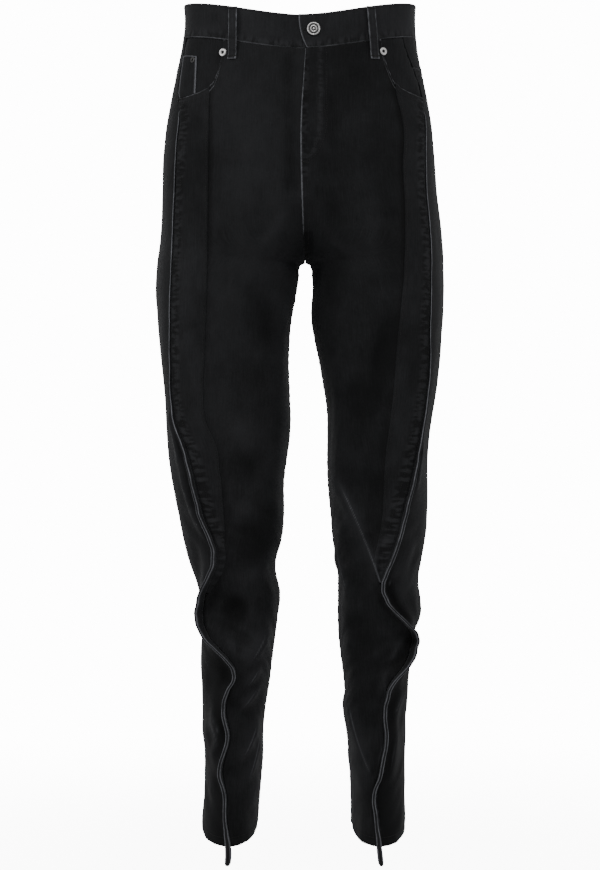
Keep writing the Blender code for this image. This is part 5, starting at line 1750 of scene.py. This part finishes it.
def line_down(panel, distance, from_last=False, low=0.0, high=2000.0):
    """A line down a panel at a distance from its first or its last border."""
    points = []
    normals = []
    for row, width in enumerate(panel.width):
        places = panel.shares[row]
        share = distance / width
        if share > 0.94:
            continue
        share = 1 - share if from_last else share
        column = int(np.clip(np.searchsorted(places, share) - 1, 0, len(places) - 2))
        mix = (share - places[column]) / (places[column + 1] - places[column])
        level = panel.down[row, column]
        if level < low or level > high:
            continue
        points.append(panel.base[row, column] * (1 - mix) + panel.base[row, column + 1] * mix)
        normals.append(panel.normal[row, column])
    return np.array(points), np.array(normals)


def line_across(panel, distance, from_bottom=False, first=0.0, last=1.0):
    """A line across a panel at a distance from its top or its bottom border."""
    points = []
    normals = []
    columns = panel.shares.shape[1]
    for column in range(columns):
        share = panel.shares[0, column]
        if share < first or share > last:
            continue
        places = panel.from_bottom[::-1, column] if from_bottom else panel.from_top[:, column]
        row = int(np.clip(np.searchsorted(places, distance) - 1, 0, len(places) - 2))
        mix = (distance - places[row]) / (places[row + 1] - places[row])
        if from_bottom:
            low = len(places) - 1 - row
            high = low - 1
        else:
            low = row
            high = row + 1
        points.append(panel.base[low, column] * (1 - mix) + panel.base[high, column] * mix)
        normals.append(panel.normal[low, column])
    return np.array(points), np.array(normals)


def sew_leg(leg, front, strip, back, cloths, thread):
    """The topstitching of one leg."""
    threads = Threads("stitches_leg_" + leg.name, cloths)
    end = strip_end(leg)
    threads.lay(*line_down(strip, 3.0, True, 124.0, end - 40))
    threads.lay(*line_down(strip, 10.0, True, 124.0, end - 70))
    threads.lay(*line_down(strip, 2.4, False, 124.0, end - 60))
    for distance in MOUTH_LINES:
        threads.lay(*line_across(strip, distance))
    mouth = front.shares[0][np.argmax(front.out[0] > leg.scoop.rows[0, 0])]
    for distance in MOUTH_LINES:
        threads.lay(*line_across(front, distance, False, mouth))
    for panel in (front, back):
        threads.lay(*line_across(panel, HEM_LINE, True))
    threads.lay(*line_down(front, FIRST_LINE, False, CROTCH + 12, 1058.0))
    threads.lay(*line_down(front, SECOND_LINE, False, CROTCH + 14, 1058.0))
    for distance in (FIRST_LINE, SECOND_LINE):
        threads.lay(*line_across(back, distance))
    if leg is LEFT:
        threads.lay(*line_down(back, FIRST_LINE, True, 96.0, CROTCH - 4))
        threads.lay(*line_down(back, SECOND_LINE, True, 96.0, CROTCH - 8))
        threads.lay(*line_down(front, FIRST_LINE, False, FLY_END + 2, CROTCH - 6))
        threads.lay(*line_down(front, SECOND_LINE, False, FLY_END + 2, CROTCH - 12))
    return threads.sew(thread, TOPSTITCH, 11 + leg.side)


def sew_fly(threads):
    """The curved double line of the fly."""
    for inset in (0.0, 6.0):
        straight = np.linspace(72.0, FLY_CURVE_TOP, 50)
        angle = np.linspace(0, 0.49 * math.pi, 40)[1:]
        curve = (FLY_CURVE_END - FLY_CURVE_TOP - inset) * np.sin(angle)
        down = np.concatenate((straight, FLY_CURVE_TOP + curve))
        wide = np.concatenate((0 * straight + 1, np.cos(angle))) * (FLY_SEWN - inset)
        out = CENTRE_SEAM.read("x", down) + wide
        threads.on(LEFT, down, Ring(LEFT, down).turn_for(out))


def sew_waistband(threads):
    """The lines along both edges of the waistband, and its lapped end."""
    for drop in BAND_LINES:
        turn = np.linspace(lap_turn(drop / BAND_HEIGHT, 3.4), math.pi, 260)
        threads.on(LEFT, waist_top(turn) + drop, turn)
        turn = np.linspace(0.03, math.pi, 260)
        threads.on(RIGHT, waist_top(turn) + drop, turn)
    rows = np.linspace(*BAND_LINES, 24)
    turn = lap_turn(rows / BAND_HEIGHT, 3.4)
    threads.on(LEFT, waist_top(turn) + rows, turn)


def sew_buttonhole(threads):
    """The keyhole under the button, a close ring of stitches on the lapped end."""
    angle = np.linspace(0, math.tau, 60)
    out = 18.5 + 11.0 * np.cos(angle)
    down = 42.0 + 1.5 * np.sin(angle)
    threads.on(LEFT, down, out / WAIST_HALF_WIDTH)


def sew_loop(threads, leg, turn, lean):
    """Two lines down a belt loop."""
    shares = np.linspace(0.04, 0.97, 40)
    middle, normal, along = loop_line(leg, turn, shares)
    for hand in (-0.62, 0.62):
        threads.lay(middle + along * (lean * shares + hand * LOOP_WIDTH / 2)[:, None], normal)


def turn_at(leg, down, out, back=False):
    """The turn of one point of the front, or of the back."""
    return float(Ring(leg, np.array([down])).turn_for(out, back)[0])


def tack(threads, leg, down, turn, length=TACK_LENGTH, tilt=math.pi / 2):
    """A bar of close stitches across a seam's end; tilt 0 lies level."""
    steps = np.linspace(-0.5, 0.5, 14) * length
    ring = Ring(leg, down + steps * math.sin(tilt))
    turns = turn + steps * math.cos(tilt) / ring.reach(turn + 0 * steps)
    threads.on(leg, down + steps * math.sin(tilt), turns)


def sew_pocket(threads, leg):
    """The lines round a back pocket."""
    for inset in (2.2, 8.0):
        corners = (
            (0.0, inset),
            (0.0, BACK_POCKET_SIDE_LENGTH - 0.6 * inset),
            (0.5, BACK_POCKET_SIDE_LENGTH + BACK_POCKET_POINT - 1.1 * inset),
            (1.0, BACK_POCKET_SIDE_LENGTH - 0.6 * inset),
            (1.0, inset),
        )
        down = []
        out = []
        for (across_a, drop_a), (across_b, drop_b) in zip(corners, corners[1:]):
            share = np.linspace(0, 1, 50)
            across = across_a + (across_b - across_a) * share
            drop = drop_a + (drop_b - drop_a) * share
            narrow = BACK_POCKET_TAPER * drop / BACK_POCKET_SIDE_LENGTH + inset
            out += list(BACK_POCKET_INNER + narrow + (BACK_POCKET_WIDTH - 2 * narrow) * across)
            down += list(BACK_POCKET_TOP + drop)
        down = np.array(down)
        threads.on(leg, down, Ring(leg, down).turn_for(np.array(out), True))
    for drop in (3.0, 14.0):
        share = np.linspace(0.02, 0.98, 60)
        narrow = BACK_POCKET_TAPER * drop / BACK_POCKET_SIDE_LENGTH
        out = BACK_POCKET_INNER + narrow + (BACK_POCKET_WIDTH - 2 * narrow) * share
        down = BACK_POCKET_TOP + drop + 0 * share
        threads.on(leg, down, Ring(leg, down).turn_for(out, True))


def turned(name, leg, out, down, sink, profile, metal, sides=48):
    """A turned metal piece: (radius, height, hollow) rows spun about the cloth's normal."""
    down = np.array([float(down)])
    turn = Ring(leg, down).turn_for(out)
    axis = outward(leg, down, turn)[0]
    centre = Ring(leg, down).surface(turn)[0] - axis * sink
    first = level_way(axis)
    second = np.cross(axis, first)
    angles = np.arange(sides) * math.tau / sides
    spokes = first[None] * np.cos(angles)[:, None] + second[None] * np.sin(angles)[:, None]
    loops = np.stack([centre + axis * height + spokes * radius for radius, height, _ in profile])
    hollow = np.repeat([hollow for _, _, hollow in profile], sides)
    return add_loops(name, loops, {"hollow": hollow}, [metal])


# Places of the metal: side, out and down
BUTTON_PLACE = (LEFT, 15.3, 41.5)
RIVET_PLACES = {"right": (RIGHT, 101.0, 69.0), "left": (LEFT, 105.0, 67.0)}
COIN_RIVET = (RIGHT, 141.0, 74.5)

# Turned outlines from the cloth out to the tip: radius, height and how much grime lies there;
# the rivet's as shares of its size
BUTTON_PROFILE = (
    (3.4, RIDE_GAP, 0.9), (3.6, 0.9, 0.9), (3.8, 1.1, 0.9), (7.4, 1.12, 0.6), (8.1, 1.3, 0.4),
    (8.5, 1.75, 0.2), (8.6, 2.3, 0.0), (8.45, 2.85, 0.0), (8.1, 3.2, 0.0), (7.6, 3.34, 0.0),
    (7.1, 3.26, 0.0), (6.7, 2.95, 0.25), (6.45, 2.62, 0.85), (6.0, 2.5, 0.95), (5.2, 2.52, 0.8),
    (4.4, 2.6, 0.6), (4.1, 2.75, 0.25), (3.8, 2.86, 0.05), (3.4, 2.86, 0.05), (3.1, 2.72, 0.4),
    (2.9, 2.52, 0.95), (1.9, 2.4, 1.0), (1.5, 2.46, 0.8), (1.2, 2.66, 0.15), (0.7, 2.8, 0.05),
    (0.05, 2.84, 0.05),
)

RIVET_PROFILE = (
    (1.0, 0.0, 0.9), (1.0, 0.2, 0.7), (1.0, 0.4, 0.1), (0.97, 0.6, 0.0), (0.9, 0.74, 0.0),
    (0.8, 0.8, 0.0), (0.62, 0.84, 0.0), (0.5, 0.8, 0.1), (0.44, 0.68, 0.3), (0.37, 0.62, 0.7),
    (0.31, 0.7, 0.9), (0.27, 0.86, 0.9), (0.2, 0.97, 0.95), (0.1, 1.0, 0.95), (0.01, 1.0, 0.95),
)


def make_rivet(name, leg, out, down, radius, sink, metal):
    """A domed rivet cap with a ring round its middle."""
    profile = []
    for wide, high, deep in RIVET_PROFILE:
        profile.append((radius * wide, RIDE_GAP + RIVET_THICKNESS * high, deep))
    return turned(name, leg, out, down, sink, profile, metal, 36)


def add_shape(name, shape):
    """An object of the studio from its shape."""
    mesh = bpy.data.meshes.new(name)
    shape.to_mesh(mesh)
    shape.free()
    return link(bpy.data.objects.new(name, mesh))


def make_floor(lowest):
    """A pale floor that fades out into the background."""
    shape = bmesh.new()
    bmesh.ops.create_circle(shape, cap_ends=True, segments=96, radius=FLOOR_RADIUS)
    floor = add_shape("studio_floor", shape)
    floor.location = (0.0, 0.0, lowest - FLOOR_DROP)
    look = floor_look()
    tree = look.node_tree
    shader = tree.nodes["Principled BSDF"]
    output = tree.nodes["Material Output"]
    start = Wire(tree, None)
    place = start.place()
    far = place.node("ShaderNodeVectorMath", {"operation": "LENGTH"}, {0: place}, 1)
    clear = tree.nodes.new("ShaderNodeBsdfTransparent")
    mix = tree.nodes.new("ShaderNodeMixShader")
    tree.links.new(far.ranged(0.1, 1.5, 0.72, 1.0).socket, mix.inputs[0])
    tree.links.new(shader.outputs[0], mix.inputs[1])
    tree.links.new(clear.outputs[0], mix.inputs[2])
    tree.links.new(mix.outputs[0], output.inputs["Surface"])
    floor.data.materials.append(look)


def make_backdrop():
    """A white surround that only the camera sees, so that it adds no light of its own."""
    shape = bmesh.new()
    bmesh.ops.create_uvsphere(shape, u_segments=32, v_segments=16, radius=BACKDROP_RADIUS)
    bmesh.ops.reverse_faces(shape, faces=shape.faces)
    backdrop = add_shape("studio_backdrop", shape)
    backdrop.visible_diffuse = False
    backdrop.visible_glossy = False
    backdrop.visible_transmission = False
    backdrop.visible_shadow = False
    look = bpy.data.materials.new("studio_backdrop")
    look.use_nodes = True
    tree = look.node_tree
    tree.nodes.clear()
    glow = tree.nodes.new("ShaderNodeEmission")
    glow.inputs["Color"].default_value = (1.0, 1.0, 1.0, 1.0)
    glow.inputs["Strength"].default_value = BACKDROP_LIGHT
    output = tree.nodes.new("ShaderNodeOutputMaterial")
    tree.links.new(glow.outputs[0], output.inputs["Surface"])
    backdrop.data.materials.append(look)


def add_light(name, place, aim, size, power):
    """A soft studio light."""
    data = bpy.data.lights.new(name, "AREA")
    data.shape = "RECTANGLE"
    data.size, data.size_y = size
    data.energy = power
    light = link(bpy.data.objects.new(name, data))
    light.location = place
    way = Vector(aim) - Vector(place)
    light.rotation_euler = way.to_track_quat("-Z", "Y").to_euler()


# Studio lights: name, place, aim, size and power
LIGHTS = (
    ("key_light", (0.3, -2.5, 1.7), (0.0, 0.0, -0.55), (0.7, 0.7), 16.0),
    ("side_light_right", (-2.2, -1.2, 0.1), (0.0, 0.0, -0.55), (0.6, 1.8), 8.0),
    ("side_light_left", (2.2, -1.2, 0.1), (0.0, 0.0, -0.55), (0.6, 1.8), 2.4),
    ("rim_light_right", (-1.3, 2.3, -0.2), (-0.1, 0.0, -0.5), (0.6, 2.2), 8.0),
    ("back_light", (0.0, 2.8, 1.4), (0.0, 0.0, -0.5), (1.4, 0.8), 9.0),
    ("rim_light_left", (1.3, 2.3, -0.2), (0.1, 0.0, -0.5), (0.6, 2.2), 5.0),
)


def make_studio():
    """Camera, lights and background."""
    data = bpy.data.cameras.new("camera")
    data.sensor_fit = "VERTICAL"
    data.sensor_height = CAMERA_SENSOR
    data.lens = CAMERA_LENS
    data.dof.use_dof = False
    camera = link(bpy.data.objects.new("camera", data))
    camera.location = CAMERA_PLACE
    camera.rotation_euler = (math.pi / 2, 0.0, 0.0)
    bpy.context.scene.camera = camera
    for name, place, aim, size, power in LIGHTS:
        add_light(name, place, aim, size, power)
    world = bpy.data.worlds.new("studio")
    world.use_nodes = True
    sky = world.node_tree.nodes["Background"]
    sky.inputs["Color"].default_value = (1.0, 1.0, 1.0, 1.0)
    sky.inputs["Strength"].default_value = AMBIENT
    bpy.context.scene.world = world


LENGTHS = ("hip", "thigh", "knee", "shin", "cuff")


def lengths(panel, leg, parts):
    """The solids that a long panel is made of, from the top down."""
    return ["_".join((panel, leg.name, part)) for part in parts]


def main():
    """Makes every piece, hides the parts that each one replaces, and sets up the studio."""
    body = denim("denim_body", cool(0.0062), cool(0.029), cool(0.2))
    # The strip's denim is a lighter copy of the body denim, painted lighter where the strip catches
    # more light
    lit_strip_denim = denim("denim_strip", cool(0.0095), cool(0.036), cool(0.2))
    edge_cloth = denim("denim_edge", cool(0.010), cool(0.035), cool(0.34))
    band_cloth = denim("denim_band", cool(0.009), cool(0.036), cool(0.24), ladder=(170.0, 60.0))
    inside = denim("denim_inside", grey(0.035), grey(0.085, -0.01), grey(0.12), 0.06)
    thread = thread_look("black_thread", grey(0.007), grey(0.022))
    silver = metal_look("plain_silver_metal", grey(0.95, 0.01), grey(0.03), 0.3, 0.55)
    darkened = metal_look("darkened_metal", grey(0.16, 0.01), grey(0.02), 0.3, 0.5)
    cloth = [body, inside]
    pieces = []

    def put(piece, node):
        pieces.append(piece)
        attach(piece, "root")
        for each in [node] if isinstance(node, str) else node:
            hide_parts(each)

    for leg in LEGS:
        front, front_cloth = make_front(leg, cloth)
        strip, strip_cloth = make_strip(leg, [lit_strip_denim, inside])
        back, back_cloth = make_back(leg, cloth)
        yoke = make_yoke(leg, cloth)
        edge = make_edge(leg, [edge_cloth])
        facing = make_facing(leg, [band_cloth, inside])
        pocket = make_back_pocket(leg, cloth)
        put(front_cloth, lengths("front", leg, LENGTHS))
        put(strip_cloth, lengths("strip", leg, LENGTHS[:3]))
        put(back_cloth, lengths("back", leg, LENGTHS))
        put(yoke, "yoke_" + leg.name)
        put(edge, "edge_" + leg.name)
        put(facing, "pocket_facing_" + leg.name)
        put(pocket, "back_pocket_" + leg.name)
        cloths = [front_cloth, strip_cloth, back_cloth, yoke]
        sewn = sew_leg(leg, front, strip, back, cloths, thread)
        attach(sewn, "root")

    coin = make_coin_pocket([band_cloth, inside])
    put(coin, "coin_pocket")
    put(make_fly(cloth), "fly_placket")
    put(make_waistband([band_cloth, inside]), "waistband")
    for name, leg, turn, lean in BELT_LOOPS:
        loop = make_belt_loop("belt_loop_" + name, leg, turn, lean, [band_cloth])
        put(loop, "belt_loop_" + name)

    threads = Threads("stitches_top", pieces)
    sew_fly(threads)
    sew_waistband(threads)
    for name, leg, turn, lean in BELT_LOOPS:
        sew_loop(threads, leg, turn, lean)
    for leg in LEGS:
        sew_pocket(threads, leg)
    top = threads.sew(thread, TOPSTITCH, 21)
    tacks = Threads("bartacks", pieces)
    sew_buttonhole(tacks)
    for name, leg, turn, lean in BELT_LOOPS:
        low = waist_top(turn) + 0.5
        tack(tacks, leg, low + 3.0, turn, LOOP_TACK_LENGTH, 0.0)
        tack(tacks, leg, low + LOOP_LENGTH - 3.5, turn + lean / 155, LOOP_TACK_LENGTH, 0.0)
    for leg in LEGS:
        ring = Ring(leg, np.array([118.0]))
        side_turn = float(ring.before[0]) - 3.0 / float(ring.root[0])
        tack(tacks, leg, 123.0, side_turn)
        pocket_top = BACK_POCKET_TOP + 3.0
        for out in (BACK_POCKET_INNER + 2.0, BACK_POCKET_INNER + BACK_POCKET_WIDTH - 2.0):
            tack(tacks, leg, pocket_top + 2.0, turn_at(leg, pocket_top, out, True))
    tack(tacks, LEFT, FLY_TACK, turn_at(LEFT, FLY_TACK, 5.0), tilt=0.1)
    tack(tacks, LEFT, FLY_SIDE_TACK, turn_at(LEFT, FLY_SIDE_TACK, 30.0))
    tacked = tacks.sew(thread, BARTACK, 31)
    for item in (top, tacked):
        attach(item, "root")

    button = turned("metal_button", *BUTTON_PLACE, 0.0, BUTTON_PROFILE, silver)
    put(button, "button")
    for name, place in RIVET_PLACES.items():
        rivet = make_rivet("metal_rivet_" + name, *place, RIVET_RADIUS, 0.0, silver)
        put(rivet, "rivet_pocket_" + name)
    rivet = make_rivet("metal_rivet_coin", *COIN_RIVET, COIN_RIVET_RADIUS, COIN_RIVET_SINK, darkened)
    put(rivet, "rivet_coin_pocket")

    make_floor(BOUNDS_AT_START[0][2])
    make_backdrop()
    make_studio()


main()
